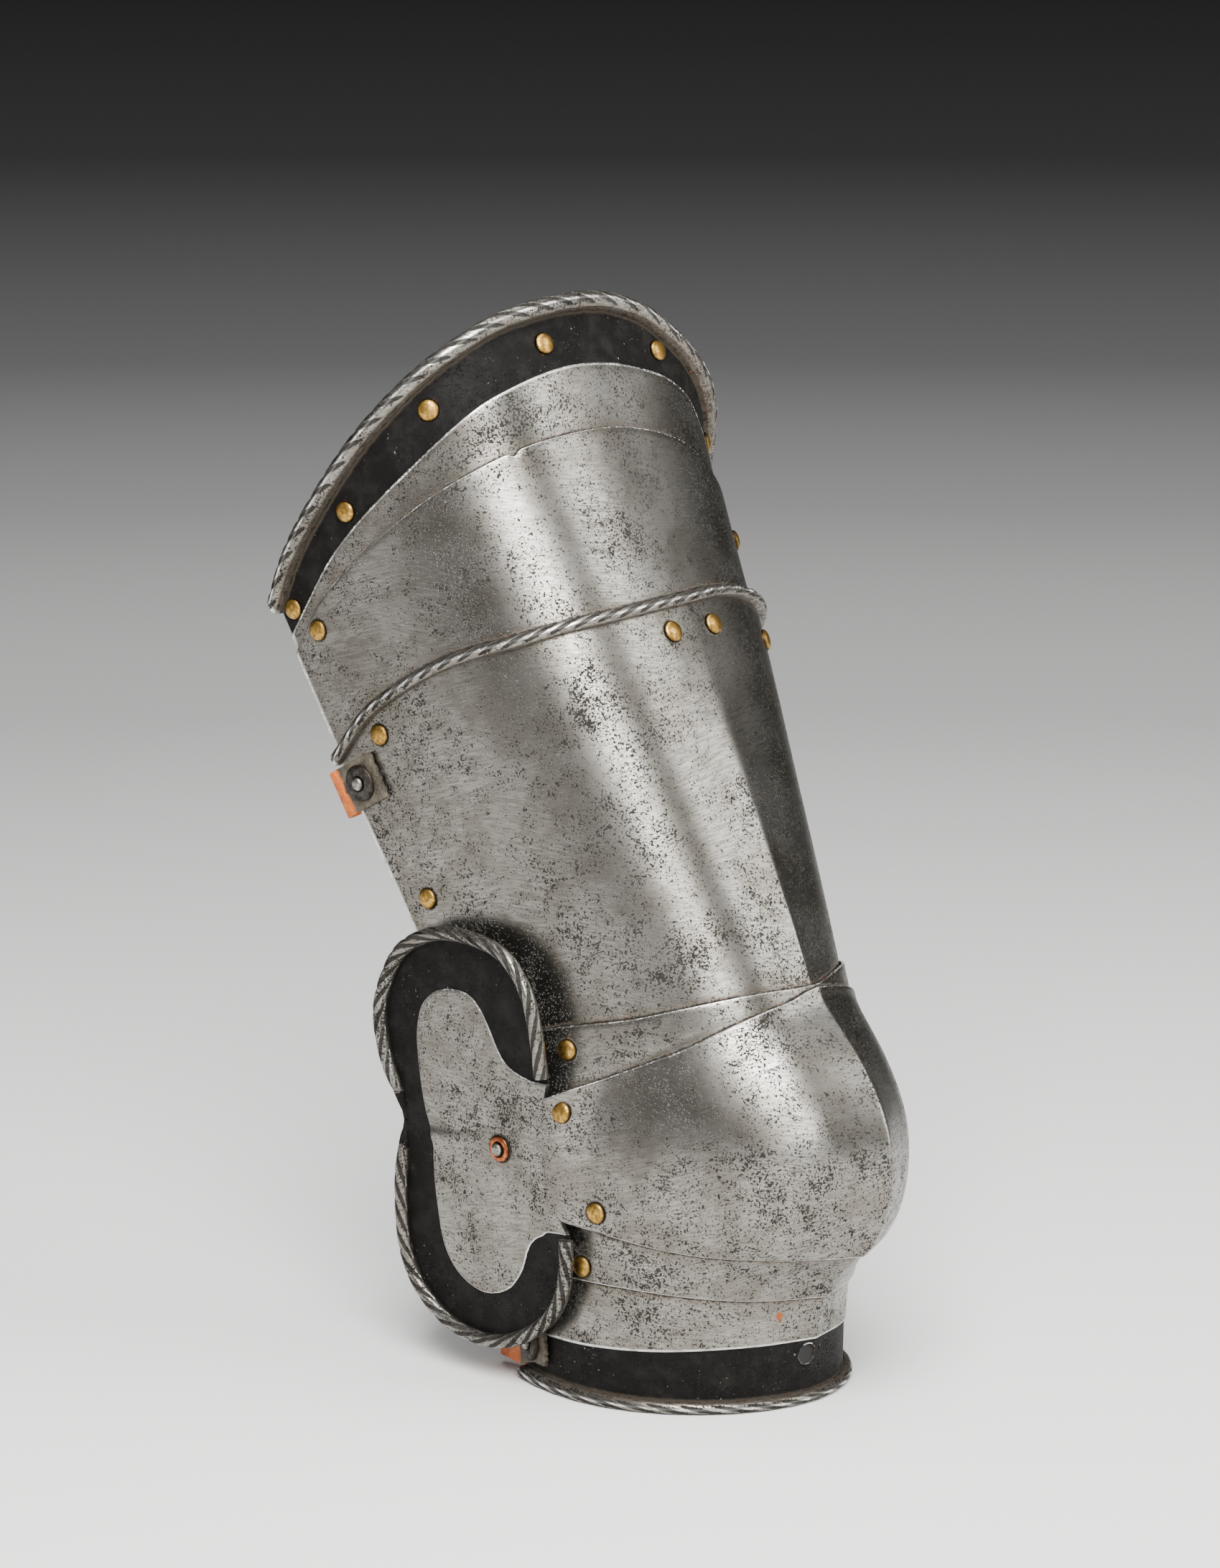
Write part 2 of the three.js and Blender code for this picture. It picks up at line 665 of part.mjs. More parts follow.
// A rivet along +Z with its face seat at zero: domed head above, shank and tail below
function rivetShape(headRadius, headHeight, grip) {
  const profile = [
    [0, -grip - TAIL_HEIGHT],
    [TAIL_RADIUS, -grip - TAIL_HEIGHT],
    [TAIL_RADIUS, -grip],
    [SHANK_RADIUS, -grip],
    [SHANK_RADIUS, 0],
    [headRadius, 0],
    [headRadius * DOME_RADIUS, headHeight * DOME_HEIGHT],
    [0, headHeight],
  ];
  const lathe = new THREE.LatheGeometry(profile.map(([x, y]) => new THREE.Vector2(x, y)), RIVET_SIDES);
  return lathe.rotateX(Math.PI / 2);
}

function ringShape(innerRadius, outerRadius, thickness) {
  const profile = [
    [innerRadius, 0],
    [outerRadius, 0],
    [outerRadius, thickness / 2],
    [outerRadius * WASHER_BEVEL, thickness],
    [innerRadius, thickness],
    [innerRadius, 0],
  ];
  const lathe = new THREE.LatheGeometry(profile.map(([x, y]) => new THREE.Vector2(x, y)), WASHER_SIDES);
  return lathe.rotateX(Math.PI / 2);
}

function drill(radius, point, normal, sides) {
  const tool = new THREE.CylinderGeometry(radius, radius, 2 * DRILL_REACH, sides).rotateX(Math.PI / 2);
  return toManifold(standOn(tool, point, normal));
}

// Brass rivets through the plates. turn in degrees from the keel, level up the leg,
// layer of the outer sheet, and the sheets that they hold.
const UPPER_HOLDS = ['upper_plate', 'top_plate'];
const MAIN_HOLDS = ['main_plate', 'upper_plate'];
const BRASS = [
  { name: 'band_rivet_1', turn: -81, level: 1.697, layer: TOP_LAYER, holds: ['top_plate'] },
  { name: 'band_rivet_2', turn: -64, level: 1.772, layer: TOP_LAYER, holds: ['top_plate'] },
  { name: 'band_rivet_3', turn: -45.5, level: 1.841, layer: TOP_LAYER, holds: ['top_plate'] },
  { name: 'band_rivet_4', turn: -18.5, level: 1.885, layer: TOP_LAYER, holds: ['top_plate'] },
  { name: 'band_rivet_5', turn: 17, level: 1.866, layer: TOP_LAYER, holds: ['top_plate'] },
  { name: 'band_rivet_6', turn: 40, level: 1.76, layer: TOP_LAYER, holds: ['top_plate'] },
  { name: 'upper_rivet_outer', turn: -77, level: 1.655, layer: UPPER_LAYER, holds: UPPER_HOLDS },
  { name: 'upper_rivet_inner', turn: 40, level: 1.622, layer: UPPER_LAYER, holds: UPPER_HOLDS },
  { name: 'main_rivet_1', turn: -73, level: 1.497, layer: MAIN_LAYER, holds: MAIN_HOLDS },
  { name: 'main_rivet_2', turn: -8.5, level: 1.491, layer: MAIN_LAYER, holds: MAIN_HOLDS },
  { name: 'main_rivet_3', turn: 7.5, level: 1.494, layer: MAIN_LAYER, holds: MAIN_HOLDS },
  { name: 'main_rivet_4', turn: 33, level: 1.474, layer: MAIN_LAYER, holds: MAIN_HOLDS },
  { name: 'main_rivet_5', turn: -77.5, level: 1.284, layer: MAIN_LAYER, holds: ['main_plate'] },
];
// The rivets that the knee plates turn on, in pairs on the outer and inner side
const PIVOTS = [
  { turn: 62.5, level: 1.036, layer: LAME_LAYER, holds: ['upper_knee_lame', 'main_plate'] },
  { turn: 68, level: 0.899, layer: COP_LAYER, holds: ['poleyn', 'upper_knee_lame'] },
  { turn: 78.5, level: 0.599, layer: COP_LAYER, holds: ['poleyn', 'lower_knee_lame'] },
  { turn: 84.5, level: 0.416, layer: LAME_LAYER, holds: ['lower_knee_lame', 'bottom_lame'] },
];
const PIVOT_RIVETS = PIVOTS.flatMap((row, i) => [
  { ...row, name: `knee_rivet_${i + 1}_outer`, turn: -row.turn },
  { ...row, name: `knee_rivet_${i + 1}_inner` },
]);
const PIN_HOLE = { turn: -2.5, level: 0.172 };
const THIGH_STRAP = {
  name: 'thigh_strap',
  level: 1.452,
  layer: MAIN_LAYER,
  holds: 'main_plate',
  width: LEATHER_WIDTH,
  sink: 0,
};
const CALF_STRAP = {
  name: 'calf_strap',
  level: 0.125,
  layer: BOTTOM_LAYER,
  holds: 'bottom_lame',
  width: CALF_LEATHER_WIDTH,
  sink: BAND_SINK,
};

function metal(color, roughness) {
  return new THREE.MeshStandardMaterial({ color, roughness, metalness: 0.9 });
}
const brass = metal(0xa8853c, 0.4);
const steel = metal(0x9a9a98, 0.45);
const darkSteel = metal(0x3c3b3a, 0.6);
const copper = metal(0xb4643c, 0.45);
const leather = new THREE.MeshStandardMaterial({ color: 0xa85a24, roughness: 0.85, metalness: 0 });

const PLATES = {
  top_plate: {
    foot: TOP_PLATE_FOOT,
    top: TOP_ROPE,
    band: TOP_BAND_FOOT,
    rim: 'top',
    ropeRadius: TOP_ROPE_RADIUS,
    layer: TOP_LAYER,
    rows: 3,
  },
  upper_plate: { foot: UPPER_PLATE_FOOT, top: UPPER_PLATE_TOP, layer: UPPER_LAYER, rows: 4 },
  main_plate: {
    foot: MAIN_PLATE_FOOT,
    top: MAIN_ROPE,
    rim: 'top',
    ropeRadius: MAIN_ROPE_RADIUS,
    layer: MAIN_LAYER,
    rows: 7,
    tuck: { cover: UPPER_LAME_TOP, toward: MAIN_PLATE_FOOT, depth: MAIN_TUCK },
  },
  upper_knee_lame: {
    foot: UPPER_LAME_FOOT,
    top: UPPER_LAME_TOP,
    layer: LAME_LAYER,
    rows: 4,
    tuck: { cover: COP_TOP, toward: UPPER_LAME_FOOT, depth: UPPER_LAME_TUCK },
  },
  poleyn: {
    foot: COP_FOOT,
    top: COP_TOP,
    layer: COP_LAYER,
    rows: 8,
    outerEnd: COP_OUTER_END,
    innerEnd: COP_INNER_END,
    flare: {
      from: NECK_START,
      to: NECK_END,
      depth: WING_STANDOFF - KNEE_HALF_WIDTH - COP_LAYER * LAYER - NECK_LAP,
    },
  },
  lower_knee_lame: {
    foot: LOWER_LAME_FOOT,
    top: LOWER_LAME_TOP,
    layer: LAME_LAYER,
    rows: 4,
    tuck: { cover: COP_FOOT, toward: LOWER_LAME_TOP, depth: LOWER_LAME_TUCK },
  },
  bottom_lame: {
    foot: () => FOOT_ROPE_RADIUS / KNEE_LEVEL,
    top: BOTTOM_LAME_TOP,
    band: FOOT_BAND_TOP,
    rim: 'foot',
    ropeRadius: FOOT_ROPE_RADIUS,
    layer: BOTTOM_LAYER,
    rows: 3,
    tuck: { cover: LOWER_LAME_FOOT, toward: BOTTOM_LAME_TOP, depth: BOTTOM_TUCK },
  },
};

const group = new THREE.Group();
const solids = {};
for (const [name, spec] of Object.entries(PLATES)) solids[name] = toManifold(plate(spec));
for (const piece of wing()) solids.poleyn = solids.poleyn.add(piece);

function addMesh(name, geometry, material) {
  const mesh = new THREE.Mesh(geometry, material);
  mesh.name = name;
  group.add(mesh);
}

// Where a straight line into the leg meets the named sheets: its seat on the outermost face,
// the way that face looks, and how much lies between it and the innermost face.
function through(point, normal, names) {
  const skin = new THREE.MeshBasicMaterial({ side: THREE.DoubleSide });
  const sheets = names.map((name) => new THREE.Mesh(fromManifold(solids[name]), skin));
  const start = point.clone().addScaledVector(normal, DRILL_REACH);
  const ray = new THREE.Raycaster(start, normal.clone().negate(), 0, 2.5 * DRILL_REACH);
  const hits = ray.intersectObjects(sheets);
  const first = hits[0];
  const last = hits[hits.length - 1];
  return { seat: first.point, facing: first.face.normal, depth: last.distance - first.distance };
}

// Holes are drilled after every rivet is placed, so that no rivet finds a hole
const drillings = [];
for (const row of [...BRASS, ...PIVOT_RIVETS]) {
  const out = row.layer * LAYER;
  const place = limb(row.turn, row.level, out);
  const { seat, facing, depth } = through(place, limbNormal(row.turn, row.level, out), row.holds);
  const head = seat.clone().addScaledVector(facing, FIT_GAP);
  const rivet = rivetShape(HEAD_RADIUS, HEAD_HEIGHT, depth + FIT_GAP + TAIL_GAP);
  addMesh(row.name, standOn(rivet, head, facing), brass);
  drillings.push({ names: row.holds, radius: HOLE_RADIUS, seat, facing, sides: RIVET_SIDES });
}

// A washer on a seat and the steel stud that holds it
function addWasher(name, hit, radius, thickness, material) {
  const seat = hit.seat.clone().addScaledVector(hit.facing, WASHER_GAP);
  const washer = ringShape(HOLE_RADIUS, radius, thickness);
  addMesh(name, standOn(washer, seat, hit.facing), material);
  const head = seat.clone().addScaledVector(hit.facing, thickness + FIT_GAP);
  const grip = hit.depth + WASHER_GAP + thickness + FIT_GAP + TAIL_GAP;
  const stud = rivetShape(STUD_RADIUS, STUD_HEIGHT, grip);
  addMesh(`${name}_stud`, standOn(stud, head, hit.facing), steel);
}

// The copper washer and its stud on the wing
const copperPlace = wingPoint(COPPER_PLACE);
const copperFoot = new THREE.Vector3(copperPlace.x, -WING_STANDOFF, copperPlace.y);
const wingOutward = new THREE.Vector3(0, -1, -WING_LEAN).normalize();
const copperHit = through(copperFoot, wingOutward, ['poleyn']);
addWasher('copper_washer', copperHit, COPPER_RADIUS, COPPER_THICKNESS, copper);
drillings.push({
  names: ['poleyn'],
  radius: HOLE_RADIUS,
  seat: copperHit.seat,
  facing: wingOutward,
  sides: RIVET_SIDES,
});

// A strap stub: leather folded round the outer rear edge of a plate
function strapLeather(strap) {
  const base = strap.layer * LAYER;
  const end = -OUTER_END(strap.level);
  const legTurn = LEATHER_WIDTH / degreeSpan(end, strap.level, base);
  const half = strap.width / 2 / levelSpan(strap.level);
  const inner = -strap.sink - WALL - LEATHER_GAP;
  const rings = [strap.level - half, strap.level, strap.level + half].map((level) => {
    const rear = limb(end, level, base).sub(limb(end + 1, level, base)).normalize();
    const leg = (out) => [1, 0.5, 0].map((share) => limb(end + legTurn * share, level, base + out));
    const outside = leg(LEATHER_GAP + LEATHER);
    const outsideInner = leg(LEATHER_GAP);
    const inside = leg(inner - LEATHER);
    const insideInner = leg(inner);
    const folded = (from, to, share, reach) => (
      from[2].clone().lerp(to[2], share).addScaledVector(rear, reach)
    );
    return [
      ...outside,
      folded(outside, inside, 0.25, LEATHER_FOLD),
      folded(outside, inside, 0.75, LEATHER_FOLD),
      ...inside.reverse(),
      ...insideInner,
      folded(insideInner, outsideInner, 0.5, LEATHER_FOLD - LEATHER),
      ...outsideInner.reverse(),
    ];
  });
  const outlines = [rings[0], rings[2]].map((ring) => ring.map(({ x, y }) => new THREE.Vector2(x, y)));
  return loft(rings, outlines);
}

// Millimetres round the leg for one degree of turn
function degreeSpan(turn, level, out) {
  return limb(turn, level, out).distanceTo(limb(turn + 1, level, out));
}

for (const strap of [THIGH_STRAP, CALF_STRAP]) {
  solids[strap.name] = toManifold(strapLeather(strap));
  const out = strap.layer * LAYER + LEATHER_GAP + LEATHER;
  const end = -OUTER_END(strap.level);
  const turn = end + LEATHER_WIDTH / 2 / degreeSpan(end, strap.level, out);
  const names = [strap.name, strap.holds];
  const hit = through(limb(turn, strap.level, out), limbNormal(turn, strap.level, out), names);
  addWasher(`${strap.name}_washer`, hit, WASHER_RADIUS, WASHER_THICKNESS, darkSteel);
  drillings.push({ names, radius: HOLE_RADIUS, seat: hit.seat, facing: hit.facing, sides: RIVET_SIDES });
}

drillings.push({
  names: ['bottom_lame'],
  radius: PIN_HOLE_RADIUS,
  seat: limb(PIN_HOLE.turn, PIN_HOLE.level, BOTTOM_LAYER * LAYER),
  facing: limbNormal(PIN_HOLE.turn, PIN_HOLE.level, BOTTOM_LAYER * LAYER),
  sides: WASHER_SIDES,
});

for (const { names, radius, seat, facing, sides } of drillings) {
  for (const name of names) solids[name] = solids[name].subtract(drill(radius, seat, facing, sides));
}
for (const [name, manifold] of Object.entries(solids)) {
  addMesh(name, fromManifold(manifold), name.endsWith('strap') ? leather : steel);
}

// The origin is the middle of the whole piece, on the surface that it stands on
const box = new THREE.Box3().setFromObject(group);
group.position.set(-(box.min.x + box.max.x) / 2, -(box.min.y + box.max.y) / 2, -box.min.z);
group.updateMatrixWorld();

export default group;
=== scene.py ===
# %% [markdown]
# # Cuisse with poleyn, right leg
# A laminated thigh guard with a winged knee cop, as an armourer would make it: thin sheets
# raised to the form of a leg, their free edges turned over and filed into ropes, sunken
# borders left dark beside them, and brass rivets that the knee plates turn on.
# Each step below makes one kind of piece, and says what the real one is and why it is
# made this way here. Lengths are millimetres until a mesh is written, which is in metres.

import math

import bmesh
import bpy
import numpy as np
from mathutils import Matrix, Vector
from mathutils.geometry import delaunay_2d_cdt


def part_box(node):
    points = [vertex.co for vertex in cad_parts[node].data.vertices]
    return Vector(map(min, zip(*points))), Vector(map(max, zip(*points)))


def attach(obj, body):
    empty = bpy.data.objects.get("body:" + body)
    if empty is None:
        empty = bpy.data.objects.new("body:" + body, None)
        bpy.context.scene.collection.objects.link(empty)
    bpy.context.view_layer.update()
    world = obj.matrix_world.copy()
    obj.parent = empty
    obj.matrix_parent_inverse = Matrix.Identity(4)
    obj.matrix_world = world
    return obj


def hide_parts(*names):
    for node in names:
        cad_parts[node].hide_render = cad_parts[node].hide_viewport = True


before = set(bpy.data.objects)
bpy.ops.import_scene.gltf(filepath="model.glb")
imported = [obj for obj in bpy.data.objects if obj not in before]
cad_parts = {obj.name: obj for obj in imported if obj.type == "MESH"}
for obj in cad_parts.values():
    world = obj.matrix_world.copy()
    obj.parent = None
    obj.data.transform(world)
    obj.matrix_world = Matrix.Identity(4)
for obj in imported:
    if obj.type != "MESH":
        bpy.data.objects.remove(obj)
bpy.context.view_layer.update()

# %% [markdown]
# ## The leg form
# Every plate is a part of one surface, which is how the real ones nest. A place on it is
# a turn from the keel in degrees, a level up the leg and a distance out of the form. The
# rows are the same driving rows as the solids have. Plain functions on arrays are used
# here and not modifiers, because each plate needs its own edges cut along exact levels.

# %% The driving sizes
# A sheet's thickness, and the step from one layer of plates to the next
WALL, LAYER = 1.3, 1.8
# The dark borders: how deep they lie, and the width of the step down to them
BAND_SINK, BAND_STEP = 0.7, 1.2
TOP_ROPE_RADIUS, MAIN_ROPE_RADIUS, FOOT_ROPE_RADIUS = 4.1, 2.9, 2.8
KNEE_LEVEL = 133.5
THIGH_RUN = 345.0
THIGH_LEAN = 26.0
KNEE_DEPTH, KNEE_HALF = 140.0, 65.0
THIGH_DEPTH, THIGH_HALF = 146.0, 92.0
KEEL_HEIGHT, KEEL_SPREAD = 5.0, 16.0
# Degrees over which the keel's edge is rounded, below and above the level where it changes
KEEL_SHARP, KEEL_BLUNT, KEEL_CHANGE, KEEL_CHANGE_RUN = 0.5, 2.5, 1.1, 0.2
WING_WIDTH, WING_HEIGHT = 105.0, 173.5
WING_MIDDLE, WING_FACE = 100.125, 73.5
WING_LEAN, WING_ROPE = 0.085, 3.3
# From the axis of the leg form to the middle of the whole piece's box
SHIFT = np.array([23.599, 5.427, -0.193])


def ease(t):
    """0 to 1 with soft ends."""
    return t * t * (3 - 2 * t)


def curve(xs, ys):
    """A smooth curve through a few values that keeps to their rise and fall."""
    xs, ys = np.array(xs, float), np.array(ys, float)
    step = np.diff(xs)
    slope = np.diff(ys) / step
    tangent = np.zeros_like(ys)
    tangent[0], tangent[-1] = slope[0], slope[-1]
    for i in range(1, len(xs) - 1):
        if slope[i - 1] * slope[i] > 0:
            one, two = 2 * step[i] + step[i - 1], step[i] + 2 * step[i - 1]
            tangent[i] = (one + two) / (one / slope[i - 1] + two / slope[i])

    def at(x):
        x = np.clip(x, xs[0], xs[-1])
        k = np.clip(np.searchsorted(xs, x, side="right") - 1, 0, len(xs) - 2)
        t = (x - xs[k]) / step[k]
        rise = ease(t)
        bend = t * (1 - t) ** 2 * tangent[k] - t * t * (1 - t) * tangent[k + 1]
        return (1 - rise) * ys[k] + rise * ys[k + 1] + step[k] * bend

    return at


# level, lean, back, front, rear, half, square, keel
KNEE_ROWS = [
    (0.0, 0.0, 0.036, 0.468, 0.593, 0.962, 1.95, 0),
    (0.09, -0.04, 0.034, 0.468, 0.593, 0.946, 1.95, 0.1),
    (0.21, -0.115, 0.053, 0.486, 0.6, 0.946, 1.95, 0.4),
    (0.37, -0.192, 0.088, 0.521, 0.614, 0.954, 1.95, 0.6),
    (0.54, -0.212, 0.135, 0.664, 0.629, 0.977, 1.95, 0.8),
    (0.75, 0.192, 0.109, 0.843, 0.643, 1.0, 2.0, 1.0),
]
THIGH_ROWS = [
    (1.0, 1, 0.103, 0.957, 0.616, 0.723, 2.45, 0.6),
    (1.226, 1, 0.103, 0.978, 0.616, 0.793, 2.8, 0.6),
    (1.484, 1, 0.103, 0.995, 0.616, 0.913, 3.0, 0.1),
    (1.742, 1, 0.103, 1.01, 0.616, 1.016, 3.1, 0),
    (1.86, 1, 0.103, 1.048, 0.616, 1.076, 3.3, 0),
    (2.0, 1, 0.103, 1.075, 0.616, 1.12, 3.3, 0),
]


def sized(rows, depth, half):
    """Rows of shares as millimetres and degrees."""
    scale = np.array([1, THIGH_LEAN, depth, depth, depth, half, 1, KEEL_HEIGHT])
    return np.array(rows, float) * scale


SECTIONS = np.vstack([
    sized(KNEE_ROWS, KNEE_DEPTH, KNEE_HALF),
    sized(THIGH_ROWS, THIGH_DEPTH, THIGH_HALF),
])
NAMES = ("lean", "back", "front", "rear", "half", "square", "keel")
SECTION = {name: curve(SECTIONS[:, 0], SECTIONS[:, i + 1]) for i, name in enumerate(NAMES)}


def limb(turn, level, out):
    """Places on the leg form, for arrays of turns, levels and distances out of it."""
    turn, level, out = np.broadcast_arrays(turn, level, out)
    height = np.where(level < 1, level * KNEE_LEVEL, KNEE_LEVEL + (level - 1) * THIGH_RUN)
    lean = np.radians(SECTION["lean"](level))
    square = SECTION["square"](level)
    c, s = np.cos(np.radians(turn)), np.sin(np.radians(turn))
    reach = (np.abs(c) ** square + np.abs(s) ** square) ** (-1 / square)
    depth = np.where(c >= 0, SECTION["front"](level), SECTION["rear"](level))
    half = SECTION["half"](level)
    ahead = np.sign(c) * np.abs(c * reach) ** (square - 1) / depth
    aside = np.sign(s) * np.abs(s * reach) ** (square - 1) / half
    share = out / np.hypot(ahead, aside)
    change = np.clip((level - KEEL_CHANGE) / KEEL_CHANGE_RUN, 0, 1)
    blunt = KEEL_SHARP + (KEEL_BLUNT - KEEL_SHARP) * change
    ridge = SECTION["keel"](level) * np.maximum(0, 1 - np.hypot(turn, blunt) / KEEL_SPREAD) ** 2
    place = depth * c * reach + ahead * share + ridge
    x = place - SECTION["back"](level) - height * np.sin(lean)
    y = half * s * reach + aside * share
    return np.stack([x * np.cos(lean), y, height + x * np.sin(lean)], axis=-1)


def limb_normal(turn, level, out):
    """The way that faces straight out of the leg form."""
    up = limb(turn, level + 0.004, out) - limb(turn, level - 0.004, out)
    round_ = limb(turn + 0.5, level, out) - limb(turn - 0.5, level, out)
    normal = np.cross(round_, up)
    return normal / np.linalg.norm(normal, axis=-1, keepdims=True)


def level_span(level):
    """Millimetres along the plate for one level."""
    thigh = THIGH_RUN * math.cos(math.radians(THIGH_LEAN))
    return np.where(np.asarray(level) < 1, KNEE_LEVEL, thigh)


print("knee front", limb(0, 0.75, 0) + SHIFT, "thigh top", limb(0, 1.9, 0) + SHIFT)

# %% The edges of the plates
OUTER_END = curve([0, 0.45, 0.65, 0.9, 1.1, 2], [118, 116, 104, 86, 83, 84])
INNER_END = curve(
    [0, 0.45, 0.65, 0.9, 1.1, 1.25, 1.4, 1.65, 2], [112, 110, 98, 80, 77, 66, 58, 55, 51],
)
COP_OUTER_END = curve([0.45, 0.54, 0.75, 1.0, 1.1], [99, 97, 88, 74, 72])
COP_INNER_END = curve([0.45, 0.75, 1.0, 1.1], [90, 90, 76, 74])
# Each edge: how far round, -1 at the outer end and 1 at the inner end, then the level
TOP_ROPE = curve(
    [-1, -0.92, -0.8, -0.65, -0.5, -0.3, -0.05, 0.2, 0.4, 0.6, 0.8, 1],
    [1.711, 1.753, 1.799, 1.851, 1.891, 1.923, 1.935, 1.921, 1.885, 1.837, 1.783, 1.718],
)
TOP_BAND = curve(
    [-1, -0.95, -0.82, -0.62, -0.4, -0.1, 0.27, 0.46, 0.68, 1],
    [1.668, 1.686, 1.733, 1.781, 1.829, 1.853, 1.836, 1.812, 1.746, 1.668],
)
TOP_FOOT = curve([-1, -0.8, -0.4, 0, 0.4, 0.72, 1], [1.612, 1.636, 1.68, 1.7, 1.66, 1.59, 1.585])
UPPER_TOP = curve(
    [-1, -0.9, -0.77, -0.57, -0.3, -0.08, 0.1, 0.33, 0.6, 1],
    [1.645, 1.685, 1.712, 1.743, 1.764, 1.77, 1.764, 1.747, 1.698, 1.63],
)
UPPER_FOOT = curve([-1, -0.9, -0.84, -0.7, 1], [1.49, 1.487, 1.47, 1.455, 1.45])
MAIN_ROPE = curve(
    [-1, -0.85, -0.7, -0.5, -0.3, -0.05, 0.25, 0.6, 1],
    [1.495, 1.532, 1.54, 1.528, 1.524, 1.53, 1.537, 1.524, 1.495],
)
MAIN_FOOT = curve([-1, -0.6, 0, 0.6, 1], [0.998, 0.98, 0.95, 0.98, 0.998])
UPPER_LAME_TOP = curve(
    [-1, -0.78, -0.56, -0.22, 0, 0.22, 0.5, 0.8, 1],
    [1.095, 1.07, 1.038, 1.019, 1.013, 1.028, 1.05, 1.07, 1.09],
)
UPPER_LAME_FOOT = curve([-1, -0.75, 0, 0.75, 1], [0.85, 0.83, 0.91, 0.83, 0.85])
COP_TOP = curve(
    [-1, -0.85, -0.6, -0.4, -0.2, 0, 0.3, 0.6, 0.9, 1],
    [0.965, 0.963, 0.96, 0.977, 0.994, 1.008, 1.004, 0.972, 0.96, 0.93],
)
COP_FOOT = curve(
    [-1, -0.8, -0.55, -0.3, 0, 0.6, 0.9, 1],
    [0.56, 0.539, 0.529, 0.538, 0.54, 0.535, 0.55, 0.58],
)
LOWER_LAME_TOP = curve([-1, -0.75, 0, 0.75, 1], [0.64, 0.67, 0.635, 0.67, 0.64])
LOWER_LAME_FOOT = curve([-1, -0.5, 0, 0.5, 1], [0.345, 0.383, 0.377, 0.37, 0.345])
BOTTOM_TOP = curve([-1, -0.72, 0, 0.72, 1], [0.46, 0.485, 0.44, 0.485, 0.46])
FOOT_BAND = curve([-1, -0.6, -0.2, 0, 0.3, 1], [0.15, 0.188, 0.224, 0.228, 0.213, 0.16])


def foot_edge(share):
    """The foot rope stands on the floor, so its middle is its radius above it."""
    return np.full_like(np.asarray(share, float), FOOT_ROPE_RADIUS / KNEE_LEVEL)


print("the top edge climbs", round(float(TOP_ROPE(-0.05) - TOP_ROPE(-1)) * THIGH_RUN), "mm")

# %% [markdown]
# ## Nodes and meshes
# One helper adds a node with its settings and links, and one turns a sheet's colour hex
# value into the linear colour that the shader takes. A mesh is written from arrays, with
# its attributes, because the finishes follow the borders and ropes rather than a picture.

# %% Helpers for materials
def colour(hex_value):
    """sRGB hex to a linear colour."""
    parts = [int(hex_value[i:i + 2], 16) / 255 for i in (1, 3, 5)]
    linear = [p / 12.92 if p <= 0.04045 else ((p + 0.055) / 1.055) ** 2.4 for p in parts]
    return tuple(linear) + (1.0,)


def connect(tree, made, **links):
    """Links or sets inputs: by name with _ for a space, or by i and a number."""
    for name, value in links.items():
        numbered = name[0] == "i" and name[1:].isdigit()
        socket = made.inputs[int(name[1:]) if numbered else name.replace("_", " ")]
        if isinstance(value, bpy.types.NodeSocket):
            tree.links.new(value, socket)
        else:
            socket.default_value = value
    return made


def node(tree, kind, settings=None, **links):
    """Adds a node. settings: its properties. links: its inputs."""
    made = tree.nodes.new(kind)
    for name, value in (settings or {}).items():
        setattr(made, name, value)
    return connect(tree, made, **links)


def new_material(name):
    """A material with one shader and nothing else."""
    material = bpy.data.materials.new(name)
    material.use_nodes = True
    tree = material.node_tree
    tree.nodes.clear()
    output = tree.nodes.new("ShaderNodeOutputMaterial")
    shader = tree.nodes.new("ShaderNodeBsdfPrincipled")
    tree.links.new(shader.outputs[0], output.inputs[0])
    return material, tree, shader


class Shading:
    """Short names for the nodes that the finishes are built from."""

    def __init__(self, tree):
        self.tree = tree
        self.place = node(tree, "ShaderNodeTexCoord").outputs["Object"]

    def sum(self, operation, a, b, clamp=False):
        settings = {"operation": operation, "use_clamp": clamp}
        return node(self.tree, "ShaderNodeMath", settings, i0=a, i1=b).outputs[0]

    def plus(self, a, b, clamp=False):
        return self.sum("ADD", a, b, clamp)

    def less(self, a, b, clamp=False):
        return self.sum("SUBTRACT", a, b, clamp)

    def times(self, a, b):
        return self.sum("MULTIPLY", a, b)

    def most(self, a, b):
        return self.sum("MAXIMUM", a, b)

    def noise(self, size, detail=3.0, rough=0.6, vector=None, distortion=0.0):
        """Noise whose marks are about size millimetres."""
        return node(
            self.tree, "ShaderNodeTexNoise", None, Vector=vector or self.place,
            Scale=1000.0 / size, Detail=detail, Roughness=rough, Distortion=distortion,
        ).outputs[0]

    def ramp(self, value, low, high, to_low=0.0, to_high=1.0, kind="SMOOTHSTEP"):
        return node(
            self.tree, "ShaderNodeMapRange", {"interpolation_type": kind},
            i0=value, i1=low, i2=high, i3=to_low, i4=to_high,
        ).outputs[0]

    def mix(self, share, a, b):
        """Mixes two colours, each a socket or a hex value."""
        a, b = (colour(tone) if isinstance(tone, str) else tone for tone in (a, b))
        settings = {"data_type": "RGBA"}
        return node(self.tree, "ShaderNodeMix", settings, i0=share, i6=a, i7=b).outputs[2]

    def attribute(self, name):
        return node(self.tree, "ShaderNodeAttribute", {"attribute_name": name}).outputs["Fac"]

    def bump(self, strength, distance, height):
        made = node(
            self.tree, "ShaderNodeBump", None, Strength=strength, Distance=distance, Height=height)
        return made.outputs[0]


print("a mid grey in linear light", round(colour("#808080")[0], 3))

